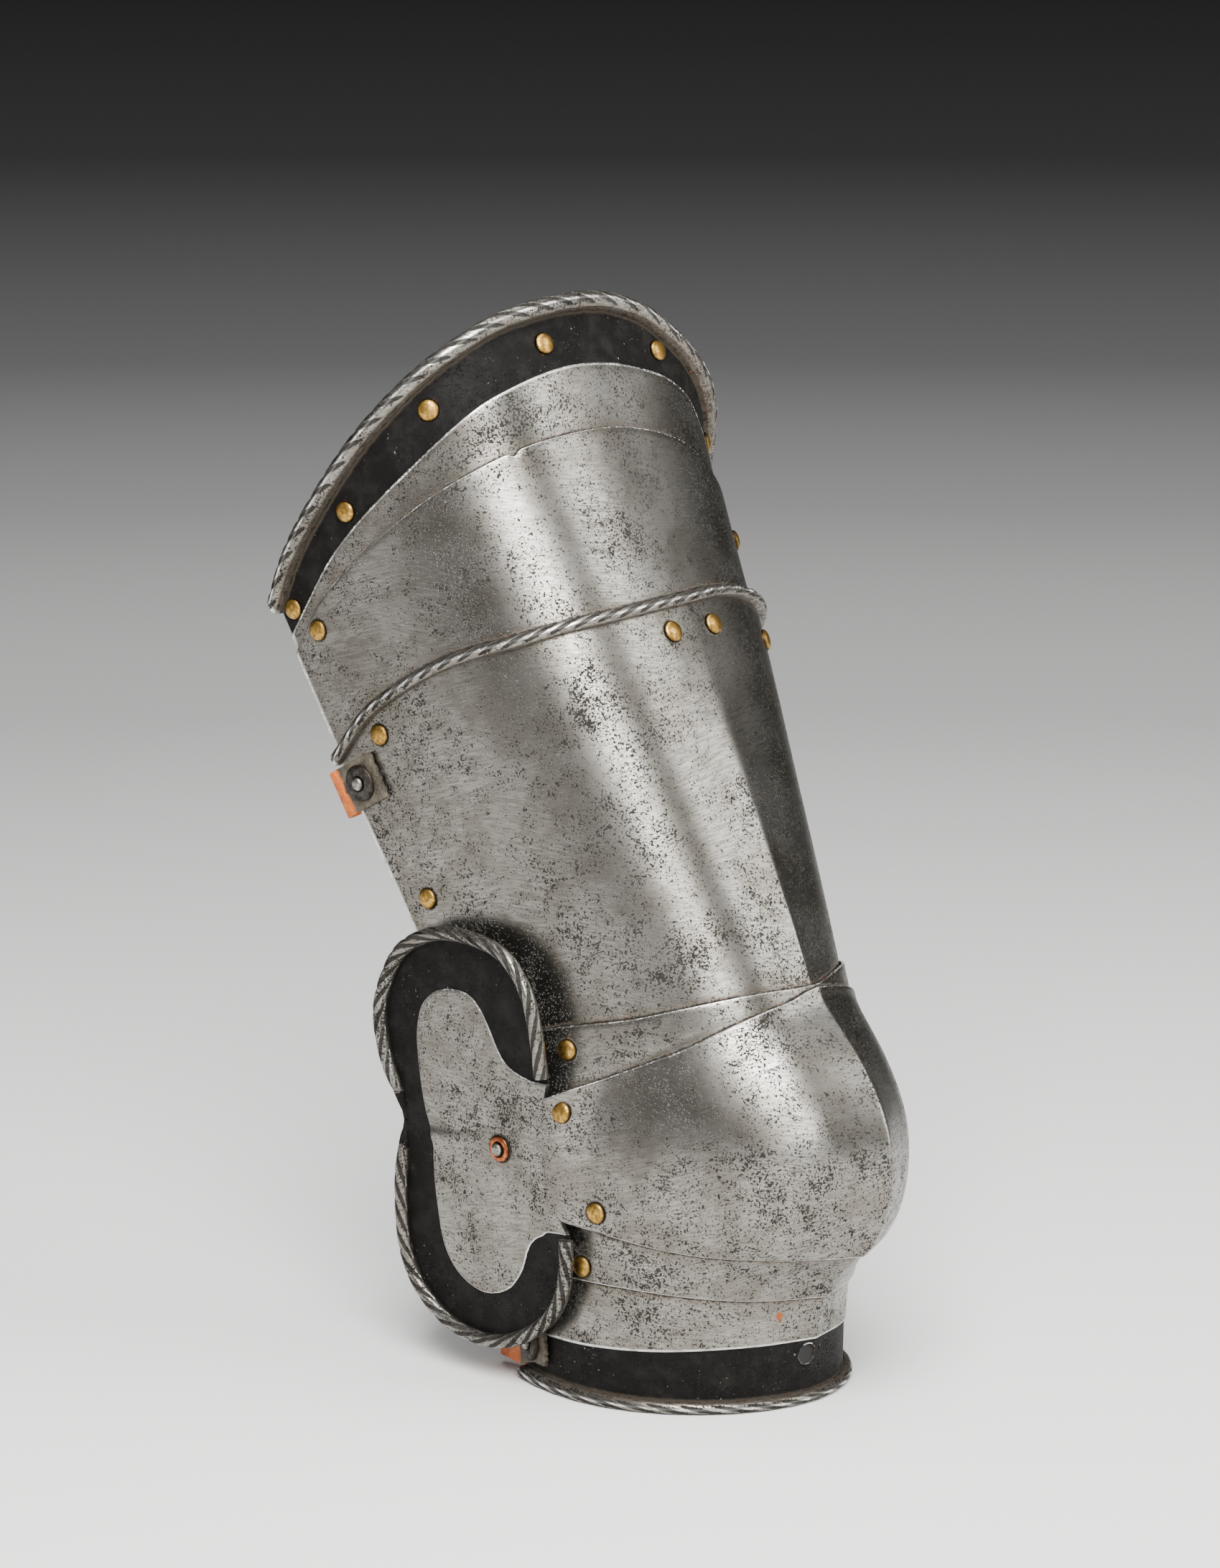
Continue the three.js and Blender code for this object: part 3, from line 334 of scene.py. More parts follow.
# %% Helpers for meshes
# A distance at which no wear or dirt shows, and the degrees from which an edge is crisp
FAR, PLATE_CREASES = 90.0, 38


def add_object(name, data):
    made = bpy.data.objects.new(name, data)
    bpy.context.scene.collection.objects.link(made)
    return made


def smooth_with_creases(mesh, degrees):
    mesh.shade_smooth()
    mesh.set_sharp_from_angle(angle=math.radians(degrees))


def face_outward(mesh):
    """Turns every face of a closed mesh outward."""
    work = bmesh.new()
    work.from_mesh(mesh)
    bmesh.ops.recalc_face_normals(work, faces=work.faces)
    work.to_mesh(mesh)
    work.free()


def write_mesh(name, places, faces, material, attributes=None, creases=40, closed=True):
    """A mesh object from places in millimetres. It sits at the origin, in metres."""
    mesh = bpy.data.meshes.new(name)
    mesh.from_pydata(((places + SHIFT) / 1000).tolist(), [], faces)
    mesh.validate()
    if closed:
        face_outward(mesh)
    for key, values in (attributes or {}).items():
        layer = mesh.attributes.new(key, "FLOAT", "POINT")
        layer.data.foreach_set("value", np.ascontiguousarray(values, dtype=np.float32))
    mesh.materials.append(material)
    smooth_with_creases(mesh, creases)
    return add_object(name, mesh)


def shaped(made):
    """The mesh that an object's modifiers make."""
    bpy.context.view_layer.update()
    scene = bpy.context.evaluated_depsgraph_get()
    return bpy.data.meshes.new_from_object(made.evaluated_get(scene))


def settle(made):
    """Applies an object's modifiers, so that what is left is a plain mesh."""
    solid = shaped(made)
    made.modifiers.clear()
    made.data = solid
    return made


def tube_faces(rings, count):
    """Vertex numbers of rings of places, and the quads round and along them."""
    grid = np.arange(rings * count).reshape(rings, count)
    a, b = grid[:-1], grid[1:]
    quads = np.stack([a, np.roll(a, -1, 1), np.roll(b, -1, 1), b], axis=-1)
    return grid, quads.reshape(-1, 4).tolist()


def ring_faces(rings, sides):
    """Quads between turned rings."""
    return [
        [i * sides + k, (i + 1) * sides + k, (i + 1) * sides + (k + 1) % sides,
         i * sides + (k + 1) % sides]
        for i in range(rings - 1) for k in range(sides)
    ]


print("helpers ready")

# %% [markdown]
# ## The plate finish
# The plates are carbon steel sheet, hammered up hot, ground and polished by hand, then
# aged: a warm mid grey with fine grinding marks that slope across the limb, and black pits
# in uneven clusters where rust once sat. The borders were left from the hammer and are
# nearly black, chipped to bare metal here and there. A painted highlight runs along the
# free edges and the lines where the borders start. Painted shade with dirt and rust lies
# where one plate slides under the next, and the steel is darker in a ring round the rivets
# and in the grooves of the ropes. One material holds it all. The attributes band, edge,
# cover, seat and groove are distances in millimetres or shares, and say where each look
# belongs.

# %% The colours of the plates
# The third tone is a painted highlight along free edges and the lines where borders start
STEEL_LIGHT, STEEL_MID, EDGE_HIGHLIGHT = "#918e88", "#77736b", "#d9d7d2"
STEEL_MARKS, PATINA, PIT = "#5c5952", "#5f564a", "#0e0c0a"
BLACK, BLACK_WORN, CHIPPED = "#0b0a09", "#191715", "#8f8b83"
# The first tone is painted shade with dirt beside covering edges, and a darker ring round rivets
# and in rope grooves
DIRT_AND_SHADE, RUST, RUST_SPOT = "#120f0c", "#5e3418", "#8a4b22"


def strokes(s, size, length, rise, detail=3.0):
    """Long marks that climb the limb by rise radians: a noise stretched along them."""
    across = (math.sin(0.77), math.cos(0.77))
    vector = node(
        s.tree, "ShaderNodeMapping", {"vector_type": "TEXTURE"}, Vector=s.place,
        Rotation=(rise * across[0], -rise * across[1], 0.0), Scale=(length, length, 1.0),
    )
    return s.noise(size, detail, 0.65, vector.outputs[0])


def bright_steel(s, edge, pits, marks):
    """Ground steel: clouds, grinding marks, a brown film, pits and a painted highlight on edges.
    """
    bright = s.mix(s.ramp(s.noise(24.0, 5.0, 0.62), 0.36, 0.66), STEEL_LIGHT, STEEL_MID)
    bright = s.mix(s.ramp(marks, 0.42, 0.6, 0.0, 0.6), bright, STEEL_MARKS)
    near_edge = s.ramp(edge, 14.0, 1.0, 0.1, 0.45)
    film = s.times(s.ramp(s.noise(15.0, 5.0, 0.65), 0.48, 0.68), near_edge)
    bright = s.mix(film, bright, PATINA)
    deep = s.ramp(strokes(s, 1.5, 22.0, 0.1, 2.0), 0.66, 0.74)
    bright = s.mix(s.times(deep, 0.35), bright, PATINA)
    bright = s.mix(s.times(pits, 0.92), bright, PIT)
    # A painted highlight along free edges and the lines where the borders start
    uneven = s.ramp(s.noise(5.0, 3.0), 0.3, 0.5, 0.35, 0.85)
    return s.mix(s.times(s.ramp(edge, 0.75, 0.2), uneven), bright, EDGE_HIGHLIGHT)


def border_black(s, patch):
    """The black border: even, with a few chips of bare metal."""
    black = s.mix(s.ramp(s.noise(9.0, 5.0, 0.7), 0.42, 0.68), BLACK, BLACK_WORN)
    chips = s.ramp(s.plus(s.noise(1.3, 3.0, 0.7), s.times(patch, 0.6)), 0.7, 0.73)
    return s.mix(s.times(chips, 0.75), black, CHIPPED)


print("pits are", PIT, "on", STEEL_MID)

# %% Hand-ground, pitted carbon steel
def plate_steel():
    material, tree, shader = new_material("hand_ground_pitted_carbon_steel")
    s = Shading(tree)
    names = ("band", "edge", "cover", "seat", "groove", "rust")
    band, edge, cover, seat, groove, rust = (s.attribute(name) for name in names)

    # Pits of 0.9 and 2.2 mm. Patches of 6 and 28 mm raise or lower how many there are.
    patch = s.plus(s.noise(28.0, 3.0), s.times(s.noise(6.0, 3.0, 0.7), 0.75))
    patch = s.times(s.less(patch, 0.875), 0.36)
    small = s.ramp(s.plus(s.noise(0.9, 2.0, 0.6), patch), 0.575, 0.605)
    large = s.ramp(s.plus(s.noise(2.2, 4.0, 0.75, distortion=0.6), patch), 0.618, 0.64)
    pits = s.most(small, large)

    # Grinding marks 0.6 mm apart, drawn that coarse to show, in two slopes
    steep, flat = (strokes(s, 0.6, 11.0, rise) for rise in (0.3, -0.1))
    marks = s.mix(s.ramp(s.noise(60.0, 1.0), 0.42, 0.58), steep, flat)
    ragged = s.times(s.less(s.noise(3.2, 4.0, 0.7), 0.5), 0.7)
    is_black = s.ramp(s.plus(band, ragged), 0.42, 0.52)
    base = s.mix(is_black, bright_steel(s, edge, pits, marks), border_black(s, patch))

    # Painted shade with dirt and rust beside a covering edge; darker round rivets and in grooves
    wander = s.times(s.less(s.noise(3.0, 4.0, 0.7), 0.5), 3.2)
    near = s.plus(cover, wander)
    beside, stain = s.ramp(near, 1.5, 0.15), s.times(s.ramp(near, 4.5, 0.5), 0.45)
    ring = s.times(s.ramp(s.plus(seat, s.times(wander, 0.3)), 5.3, 4.5), 0.85)
    cut = s.ramp(groove, 0.2, 0.42)
    shade_and_dirt = s.most(s.most(beside, ring), s.times(cut, 0.96))
    rusty = s.times(s.ramp(s.noise(2.2, 4.0, 0.7), 0.56, 0.68), s.less(1.0, cut))
    base = s.mix(stain, base, PATINA)
    base = s.mix(s.times(shade_and_dirt, 0.93), base, s.mix(rusty, DIRT_AND_SHADE, RUST))
    base = s.mix(rust, base, RUST_SPOT)

    spoilt = s.most(s.most(pits, shade_and_dirt), rust)
    dull = s.plus(s.ramp(marks, 0.3, 0.7, 0.27, 0.38), s.times(spoilt, 0.4))
    dull = s.plus(dull, s.times(is_black, 0.3), clamp=True)
    metal = s.less(1.0, s.times(is_black, 0.85))
    metal = s.less(metal, s.times(spoilt, 0.85), clamp=True)
    gloss = s.ramp(s.most(is_black, spoilt), 0.0, 1.0, 0.5, 0.12)

    # Relief in millimetres: hammer dents some 30 mm wide, smaller ones, grinding and pits
    height = s.plus(s.times(s.noise(30.0, 1.0, 0.4), 0.1), s.times(s.noise(7.0, 3.0, 0.6), 0.07))
    height = s.less(s.plus(height, s.times(marks, 0.05)), s.times(pits, 0.07))
    connect(
        tree, shader, Base_Color=base, Roughness=dull, Metallic=metal, Specular_IOR_Level=gloss,
        Normal=s.bump(0.8, 0.001, height),
    )
    return material


STEEL = plate_steel()
print("made", STEEL.name, "with", len(STEEL.node_tree.nodes), "nodes")

# %% [markdown]
# ## The ropes
# The free edges are turned over a wire and filed with slanting cuts, so that they look like
# a cord. Each cut is a long lens that runs with the rope and fades at its ends. A rope here
# is part of its plate's own closed section, its radius pressed in along the cuts.

# %% The section of a rope edge
ROPE_STEPS = 30
# Where the sheet meets its rope, as a share of the rope's radius from the rope's middle
ROPE_SEAT = 0.85
# A cut: depth as a share of the radius, millimetres to its side, pitches round one radian
CUT_DEPTH, CUT_HALF_WIDTH, CUT_TWIST = 0.32, 1.1, 0.66
# The radius between the cuts as a share of the whole, and how much it swells
STRAND, STRAND_SWELL = 0.93, 0.07


def rope_cuts(along, angle, radius, pitch, hand, centre, reach):
    """Share of the radius, and depth of the cut, round a rope. hand: which way it twists."""
    lean = hand * (angle - centre) * CUT_TWIST
    phase = (along[:, None] / pitch + lean[None, :]) % 1.0
    slope = CUT_TWIST * pitch / radius
    away = np.abs(phase - 0.5) * pitch / math.hypot(1.0, slope)
    fade = np.exp(-(((angle - centre) / reach) ** 4))[None, :]
    uneven = 0.85 + 0.15 * np.sin(along * 1.7)[:, None] * np.sin(along * 0.31)[:, None]
    cut = np.exp(-((away / CUT_HALF_WIDTH) ** 2)) * fade * uneven
    swell = STRAND_SWELL * np.cos(2 * math.pi * phase) * fade
    return STRAND - CUT_DEPTH * cut - swell, cut


def run_of(line):
    """How far along a line of places each one is."""
    return np.concatenate([[0], np.cumsum(np.linalg.norm(np.diff(line, axis=0), axis=1))])


print("a cut is", CUT_HALF_WIDTH * 2, "mm wide")

# %% [markdown]
# ## The plates
# A raised plate is a thin sheet whose section follows the limb. Sweeping its section from
# the outer rear end round to the inner one gives the curve, the wall, the turned edge and
# the border in one closed mesh. Subdividing a rough cage would round the borders off, so
# the mesh is written at full size, with rows packed where the section bends sharply.

# %% Rivet places: turn, level
BAND_RIVETS = [
    (-81, 1.697), (-64, 1.772), (-45.5, 1.841), (-18.5, 1.885), (17, 1.866), (40, 1.76),
]
UPPER_RIVETS = [(-77, 1.655), (40, 1.622)]
MAIN_RIVETS = [(-73, 1.497), (-8.5, 1.491), (7.5, 1.494), (33, 1.474)]
SIDE_RIVET = [(-77.5, 1.284)]
PIVOTS = [(62.5, 1.036), (68, 0.899), (78.5, 0.599), (84.5, 0.416)]
print(len(BAND_RIVETS + UPPER_RIVETS + MAIN_RIVETS + SIDE_RIVET) + 2 * len(PIVOTS), "rivets")

# %% One face of a plate, in rows from its foot to its top
EDGE_ROWS = np.array([[0.0, 0.25, 0.7]])
EDGE_DROP = np.array([[-0.55, -0.16, 0.0]])


def plate_face(spec, share, rows):
    """Levels, heights and border shade of the outer face, its free edges rounded."""
    foot, top = spec["foot"](share)[:, None], spec["top"](share)[:, None]
    span = level_span(top)
    rim, seat = spec.get("rim"), ROPE_SEAT * spec.get("rope", 0.0) / span
    line = spec["band"](share)[:, None] if "band" in spec else None
    low = line if rim == "foot" else foot
    high = top if rim != "top" else (top - seat if line is None else line)
    level = low + (high - low) * np.linspace(0, 1, rows)[None, :]
    out = np.zeros_like(level)
    if rim != "foot":
        level = np.hstack([foot + EDGE_ROWS / span, level[:, 1:]])
        out = np.hstack([EDGE_DROP + 0 * foot, out[:, 1:]])
    if rim != "top":
        level = np.hstack([level[:, :-1], top - EDGE_ROWS[:, ::-1] / span])
        out = np.hstack([out[:, :-1], EDGE_DROP[:, ::-1] + 0 * foot])
    shade = np.zeros_like(level)
    if line is None:
        return level, out, shade
    step = np.linspace(0, 1, 6)[None, 1:]
    drop = -BAND_SINK * ease(step) + 0 * foot
    way = -1 if rim == "foot" else 1
    slope = line + way * step * BAND_STEP / span
    stop = foot + seat if rim == "foot" else top - seat
    floor = slope[:, -1:] + (stop - slope[:, -1:]) * np.linspace(0, 1, 11)[None, 1:]
    border = np.hstack([slope, floor])
    sunk = np.hstack([drop, np.full_like(floor, -BAND_SINK)])
    face, band = (level, out, shade), (border, sunk, -sunk / BAND_SINK)
    if way < 0:
        face, band = tuple(part[:, ::-1] for part in band), face
    return tuple(np.hstack(pair) for pair in zip(face, band))


def rope_rows(spec, share, base):
    """Levels, heights and cut depth of the turned edge."""
    top_rim = spec["rim"] == "top"
    centre = (spec["top"] if top_rim else spec["foot"])(share)
    way, rope = (1 if top_rim else -1), spec["rope"]
    middle = rope - WALL - (BAND_SINK if "band" in spec else 0)
    turn = np.where(share < 0, share * OUTER_END(centre), share * INNER_END(centre))
    along = run_of(limb(turn, centre, base + middle))
    angle = np.radians(np.linspace(-68, 180, ROPE_STEPS))
    centre_angle, reach = math.radians(35), 1.5
    radius, cut = rope_cuts(
        along, angle, rope, spec["pitch"], spec["hand"], centre_angle, reach)
    span = level_span(centre)[:, None]
    level = centre[:, None] + way * np.sin(angle)[None, :] * radius * rope / span
    if not top_rim:
        level = np.maximum(level, centre[:, None] - rope * 0.985 / span)
    return level, middle + np.cos(angle)[None, :] * radius * rope, cut


print("a free edge is rounded over", EDGE_ROWS[0, -1], "mm")

# %% Where painted highlights, painted shade, patina and dirt go on a plate
def covered(spec, turn, level):
    """Millimetres from the edge of the plate that lies over this one."""
    if "cover" not in spec:
        return np.full_like(level, FAR)
    edge, side, gap, is_cop = spec["cover"]
    outer, inner = (COP_OUTER_END, COP_INNER_END) if is_cop else (OUTER_END, INNER_END)
    share = np.clip(np.where(turn < 0, turn / outer(level), turn / inner(level)), -1, 1)
    return side * (level - edge(share)) * level_span(level) - gap


def edge_distance(spec, share, level):
    """Millimetres from the nearest free edge or the line where the border starts."""
    edges = [spec[key](share)[:, None] for key in ("top", "foot", "band") if key in spec]
    near = np.min([np.abs(level - edge) for edge in edges], axis=0) * level_span(level)
    return np.minimum(near, (1 - np.abs(share))[:, None] * 80)


def nearest(places, points):
    """Millimetres from each place to the nearest of a few points."""
    return np.min([np.linalg.norm(places - point, axis=-1) for point in points], axis=0)


print("wear and dirt ready")

# %% The plate maker
# The distance from a covering edge that the inside faces are given, which leaves them evenly
# stained
INSIDE_STAIN = 2.2
# Along the seat of a rope the darkening is lighter and fades faster than beside an edge
SEAT_DARKENING_START, SEAT_DARKENING_FADE = 0.9, 2.2


def plate(name, spec, columns, rows):
    """One closed plate: spec holds its edges, layer, rim, border, tuck, flare and cover."""
    base = spec["layer"] * LAYER
    share = np.linspace(-1, 1, columns)
    face_level, face_out, shade = plate_face(spec, share, rows)
    none = np.zeros_like(face_level)
    parts = [(face_level, face_out, shade, none)]
    rim = spec.get("rim")
    if rim:
        level, out, cut = rope_rows(spec, share, base)
        rope = (level, out, np.zeros_like(level), cut)
        parts = parts + [rope] if rim == "top" else [tuple(p[:, ::-1] for p in rope)] + parts
    wall = spec.get("wall", WALL)
    inner_out = np.minimum(face_out, 0)[:, ::-1] - wall
    if rim != "top":
        inner_out[:, 0] = -wall
    if rim != "foot":
        inner_out[:, -1] = -wall
    parts.append((face_level[:, ::-1], inner_out, none, none))
    level, out, shade, cut = (np.hstack([p[i] for p in parts]) for i in range(4))
    outer_end, inner_end = spec.get("ends", (OUTER_END, INNER_END))
    sides = share[:, None] * np.ones_like(level)
    turn = np.where(sides < 0, sides * outer_end(level), sides * inner_end(level))
    total = out + base
    if "tuck" in spec:
        cover, toward, depth = spec["tuck"]
        run = (level - cover(share)[:, None]) / (toward(share) - cover(share))[:, None]
        total = total - depth * np.clip(run, 0, 1) * np.maximum(0, np.cos(np.radians(turn))) ** 2
    places = limb(turn, level, total)
    if "flare" in spec:
        places = places + neck_shift(turn, level, base)
    count = level.shape[1]
    grid, faces = tube_faces(columns, count)
    for ring in (grid[0], grid[-1]):
        faces += end_cap(ring.tolist(), face_level.shape[1], rim)
    # edge places a painted highlight; cover places painted shade with dirt; seat places a darker
    # ring round rivets
    attributes = {
        "band": shade, "groove": cut, "edge": edge_distance(spec, share, level),
        "cover": shade_dirt_distance(spec, share, turn, level, count - face_level.shape[1]),
        "seat": nearest(places, [limb(*row, base) for row in spec.get("rivets", [(0, 0)])]),
        "rust": rust_spots(places),
    }
    attributes = {key: values.ravel() for key, values in attributes.items()}
    made = write_mesh(name, places.reshape(-1, 3), faces, STEEL, attributes, PLATE_CREASES)
    print(name, len(faces), "faces")
    return made


def shade_dirt_distance(spec, share, turn, level, first_inside):
    """Millimetres to the covering edge or the rope's seat, and one value for the inside."""
    gap = covered(spec, turn, level)
    if "rim" in spec:
        middle, way = (spec["top"], 1) if spec["rim"] == "top" else (spec["foot"], -1)
        seat_line = middle(share)[:, None] - way * ROPE_SEAT * spec["rope"] / level_span(level)
        from_seat = np.abs(level - seat_line) * level_span(level)
        gap = np.minimum(gap, from_seat * SEAT_DARKENING_FADE + SEAT_DARKENING_START)
    gap[:, first_inside:] = INSIDE_STAIN
    return gap


def end_cap(ring, face_count, rim):
    """Closes one end of a plate: quads across its wall, and one face across the rope."""
    start = ROPE_STEPS if rim == "foot" else 0
    outer, inner = ring[start:start + face_count], ring[::-1][:face_count]
    faces = [[outer[i], inner[i], inner[i + 1], outer[i + 1]] for i in range(face_count - 1)]
    if rim == "top":
        faces.append([outer[-1], inner[-1]] + ring[face_count:face_count + ROPE_STEPS][::-1])
    if rim == "foot":
        faces.append([inner[0], outer[0]] + ring[:ROPE_STEPS][::-1])
    return faces


def neck_shift(turn, level, base):
    """Draws the rear end of the cop out sideways until it lies in the plane of the wing."""
    face = limb(turn, level, base)
    plane = -WING_FACE - WING_LEAN * (face[..., 2] - WING_MIDDLE)
    t = np.clip((NECK_START - face[..., 0]) / NECK_RUN, 0, 1)
    share = np.where(turn <= 0, ease(t), 0)
    shift = np.zeros_like(face)
    shift[..., 1] = (plane + NECK_AIR - face[..., 1]) * share
    return shift


# Millimetres ahead of the leg's axis where the neck starts, its run toward the rear, and
# how far inside the wing's plane it ends
NECK_START, NECK_RUN, NECK_AIR = 10.0, 21.0, 0.06


def rust_spots(places):
    """One rust-red spot beside the knee, as the real plate has."""
    spot = limb(-16.5, 0.322, 0.0)
    return np.clip(2.0 - nearest(places, [spot]) / 1.1, 0, 1)


print("plate maker ready")

# %% [markdown]
# ## The seven plates
# The lames are cut from the same form, each a layer further out, so they can slide over one
# another. The knee's are of thinner sheet, which leaves air when they turn, and what they
# hide is drawn in a little at the front. The upper plate has a nick in its free edge, and
# the keel of the thigh plate dies away below the rope, as on the real one.

# %% Make the plates
KNEE_WALL = 0.95
NICK_SHARE, NICK_DEPTH, NICK_WIDTH = -0.392, 0.0055, 0.012


def nicked(share):
    """The upper plate's free edge, with the nick where it was once bent and broken."""
    share = np.asarray(share, float)
    return UPPER_TOP(share) - NICK_DEPTH * np.exp(-(((share - NICK_SHARE) / NICK_WIDTH) ** 2))


def both_sides(*rivets):
    """The same rivets on the outer and the inner side."""
    return [(side * turn, level) for turn, level in rivets for side in (-1, 1)]


# cover: the edge that lies over it, which way is hidden, the rope's radius, whether the
# cop covers it. tuck: from which edge to which the hidden part is drawn in, and how far.
# The two numbers after each dict are its columns round and rows up.
PLATES = {
    "top_plate": (dict(
        foot=TOP_FOOT, top=TOP_ROPE, band=TOP_BAND, rim="top", rope=TOP_ROPE_RADIUS,
        pitch=12.0, hand=1, layer=-2, cover=(nicked, 1, 0.0, False), rivets=BAND_RIVETS,
    ), 620, 16),
    "upper_plate": (dict(
        foot=UPPER_FOOT, top=nicked, layer=-1, cover=(MAIN_ROPE, 1, MAIN_ROPE_RADIUS, False),
        rivets=UPPER_RIVETS,
    ), 420, 30),
    "main_plate": (dict(
        foot=MAIN_FOOT, top=MAIN_ROPE, rim="top", rope=MAIN_ROPE_RADIUS, pitch=9.5, hand=-1,
        layer=0, tuck=(UPPER_LAME_TOP, MAIN_FOOT, 5.5), cover=(UPPER_LAME_TOP, 1, 0.0, False),
        rivets=MAIN_RIVETS + SIDE_RIVET,
    ), 620, 56),
    "upper_knee_lame": (dict(
        foot=UPPER_LAME_FOOT, top=UPPER_LAME_TOP, layer=1, wall=KNEE_WALL,
        tuck=(COP_TOP, UPPER_LAME_FOOT, 6), cover=(COP_TOP, 1, 0.0, True),
        rivets=both_sides(PIVOTS[0]),
    ), 240, 24),
    "poleyn": (dict(
        foot=COP_FOOT, top=COP_TOP, layer=2, wall=KNEE_WALL,
        ends=(COP_OUTER_END, COP_INNER_END), flare=True, rivets=both_sides(*PIVOTS[1:3]),
    ), 300, 52),
    "lower_knee_lame": (dict(
        foot=LOWER_LAME_FOOT, top=LOWER_LAME_TOP, layer=1, wall=KNEE_WALL,
        tuck=(COP_FOOT, LOWER_LAME_TOP, 13), cover=(COP_FOOT, -1, 0.0, True),
        rivets=both_sides(PIVOTS[3]),
    ), 240, 22),
    "bottom_lame": (dict(
        foot=foot_edge, top=BOTTOM_TOP, band=FOOT_BAND, rim="foot", rope=FOOT_ROPE_RADIUS,
        pitch=13.0, hand=-1, layer=0, tuck=(LOWER_LAME_FOOT, BOTTOM_TOP, 4),
        cover=(LOWER_LAME_FOOT, -1, 0.0, False),
    ), 560, 22),
}
made_plates = {name: plate("fine_" + name, *row) for name, row in PLATES.items()}

# %% [markdown]
# ## The hole for a turning pin
# Near the shin the bottom lame has a plain hole where a pin once held the greave. A
# drilled hole is a cut right through, so a cylinder is taken away from the sheet.

# %% Drill the pin hole
PIN_HOLE = dict(turn=-2.5, level=0.172, radius=4.05)


def drill(made, turn, level, radius, sides=48):
    """Cuts a round hole through a plate, square to its face."""
    centre, way = limb(turn, level, -BAND_SINK), limb_normal(turn, level, 0.0)
    across = np.cross(way, [0, 0, 1.0])
    across /= np.linalg.norm(across)
    rise = np.cross(across, way)
    turns = np.linspace(0, 2 * math.pi, sides, endpoint=False)
    ring = [across * math.cos(t) + rise * math.sin(t) for t in turns]
    places = [centre + way * depth + spoke * radius for depth in (-5.0, 5.0) for spoke in ring]
    faces = [[k, (k + 1) % sides, sides + (k + 1) % sides, sides + k] for k in range(sides)]
    faces += [list(range(sides)), list(range(2 * sides - 1, sides - 1, -1))]
    cutter = write_mesh("drill", np.array(places), faces, STEEL)
    cut = made.modifiers.new("hole", "BOOLEAN")
    cut.operation, cut.solver, cut.object = "DIFFERENCE", "EXACT", cutter
    settle(made)
    bpy.data.objects.remove(cutter)
    smooth_with_creases(made.data, PLATE_CREASES)


drill(made_plates["bottom_lame"], **PIN_HOLE)
print("bottom lame now has", len(made_plates["bottom_lame"].data.polygons), "faces")

# %% [markdown]
# ## The wing of the knee cop
# The wing is the flat side of the cop, cut to two lobes, its edge turned into a rope and
# its border sunk. Two curves through a few points give its outline and two give the plain
# panel inside the border. Its face is one flat mesh of that outline, filled with a fine
# lattice and pressed down outside the panel, which keeps the step of the border crisp.

# %% The wing's outline and panel, as shares of its width and height
UPPER_LOBE = [
    (0.072, 0.683), (0.089, 0.798), (0.135, 0.895), (0.258, 0.973), (0.467, 1), (0.657, 0.989),
    (0.838, 0.934), (0.952, 0.839), (0.996, 0.75), (0.973, 0.647), (0.91, 0.561), (0.888, 0.508),
]
LOWER_LOBE = [
    (0.888, 0.508), (0.915, 0.442), (0.946, 0.326), (0.941, 0.194), (0.866, 0.095), (0.71, 0.024),
    (0.514, 0), (0.325, 0.022), (0.155, 0.082), (0.048, 0.159), (0.005, 0.245), (-0.002, 0.31),
]
NECK = [(0.04, 0.328), (0.13, 0.4), (0.13, 0.6), (0.09, 0.668)]
PANEL_UPPER = [
    (0.729, 0.487), (0.764, 0.556), (0.78, 0.64), (0.779, 0.726), (0.742, 0.793), (0.661, 0.834),
    (0.562, 0.848), (0.474, 0.84), (0.408, 0.802), (0.333, 0.718), (0.282, 0.688), (0.2, 0.672),
    (0.12, 0.668), (-0.3, 0.67),
]
PANEL_LOWER = [
    (0.729, 0.487), (0.737, 0.386), (0.731, 0.315), (0.71, 0.229), (0.652, 0.171), (0.559, 0.138),
    (0.462, 0.134), (0.362, 0.158), (0.29, 0.206), (0.25, 0.26), (0.215, 0.287), (0.165, 0.305),
    (0.09, 0.319), (-0.3, 0.325),
]
COPPER = (0.358, 0.492)


def wing_place(rows):
    """x and z in millimetres from shares of the wing's width and height."""
    rows = np.atleast_2d(np.array(rows, float))
    height = WING_MIDDLE + (rows[:, 1] - 0.5) * WING_HEIGHT
    return np.stack([-rows[:, 0] * WING_WIDTH, height], axis=1)


def spline(points, steps=16):
    """A smooth line through points."""
    p = np.vstack([points[:1], points, points[-1:]])
    line = []
    for i in range(1, len(p) - 2):
        for t in np.linspace(0, 1, steps, endpoint=False):
            a, b = (p[i + 1] - p[i - 1]) / 2, (p[i + 2] - p[i]) / 2
            h = ease(1 - t), t ** 3 - 2 * t ** 2 + t, ease(t), t ** 3 - t ** 2
            line.append(h[0] * p[i] + h[1] * a + h[2] * p[i + 1] + h[3] * b)
    line.append(p[-2])
    return np.array(line)


def even(line, step):
    """The same line with its points a step apart."""
    run = run_of(line)
    at = np.linspace(0, run[-1], max(2, int(run[-1] / step)))
    return np.stack([np.interp(at, run, line[:, k]) for k in range(2)], axis=1)


def inset(line, distance):
    """The line moved toward its left by a distance, or by one distance for each point."""
    way = np.gradient(line, axis=0)
    way /= np.linalg.norm(way, axis=1, keepdims=True)
    return line + np.stack([-way[:, 1], way[:, 0]], axis=1) * np.reshape(distance, (-1, 1))


def lean_out(x, out, z):
    """A place on the wing: out is millimetres out of its face."""
    return np.stack([x, -(WING_FACE + out) - WING_LEAN * (z - WING_MIDDLE), z], axis=-1)


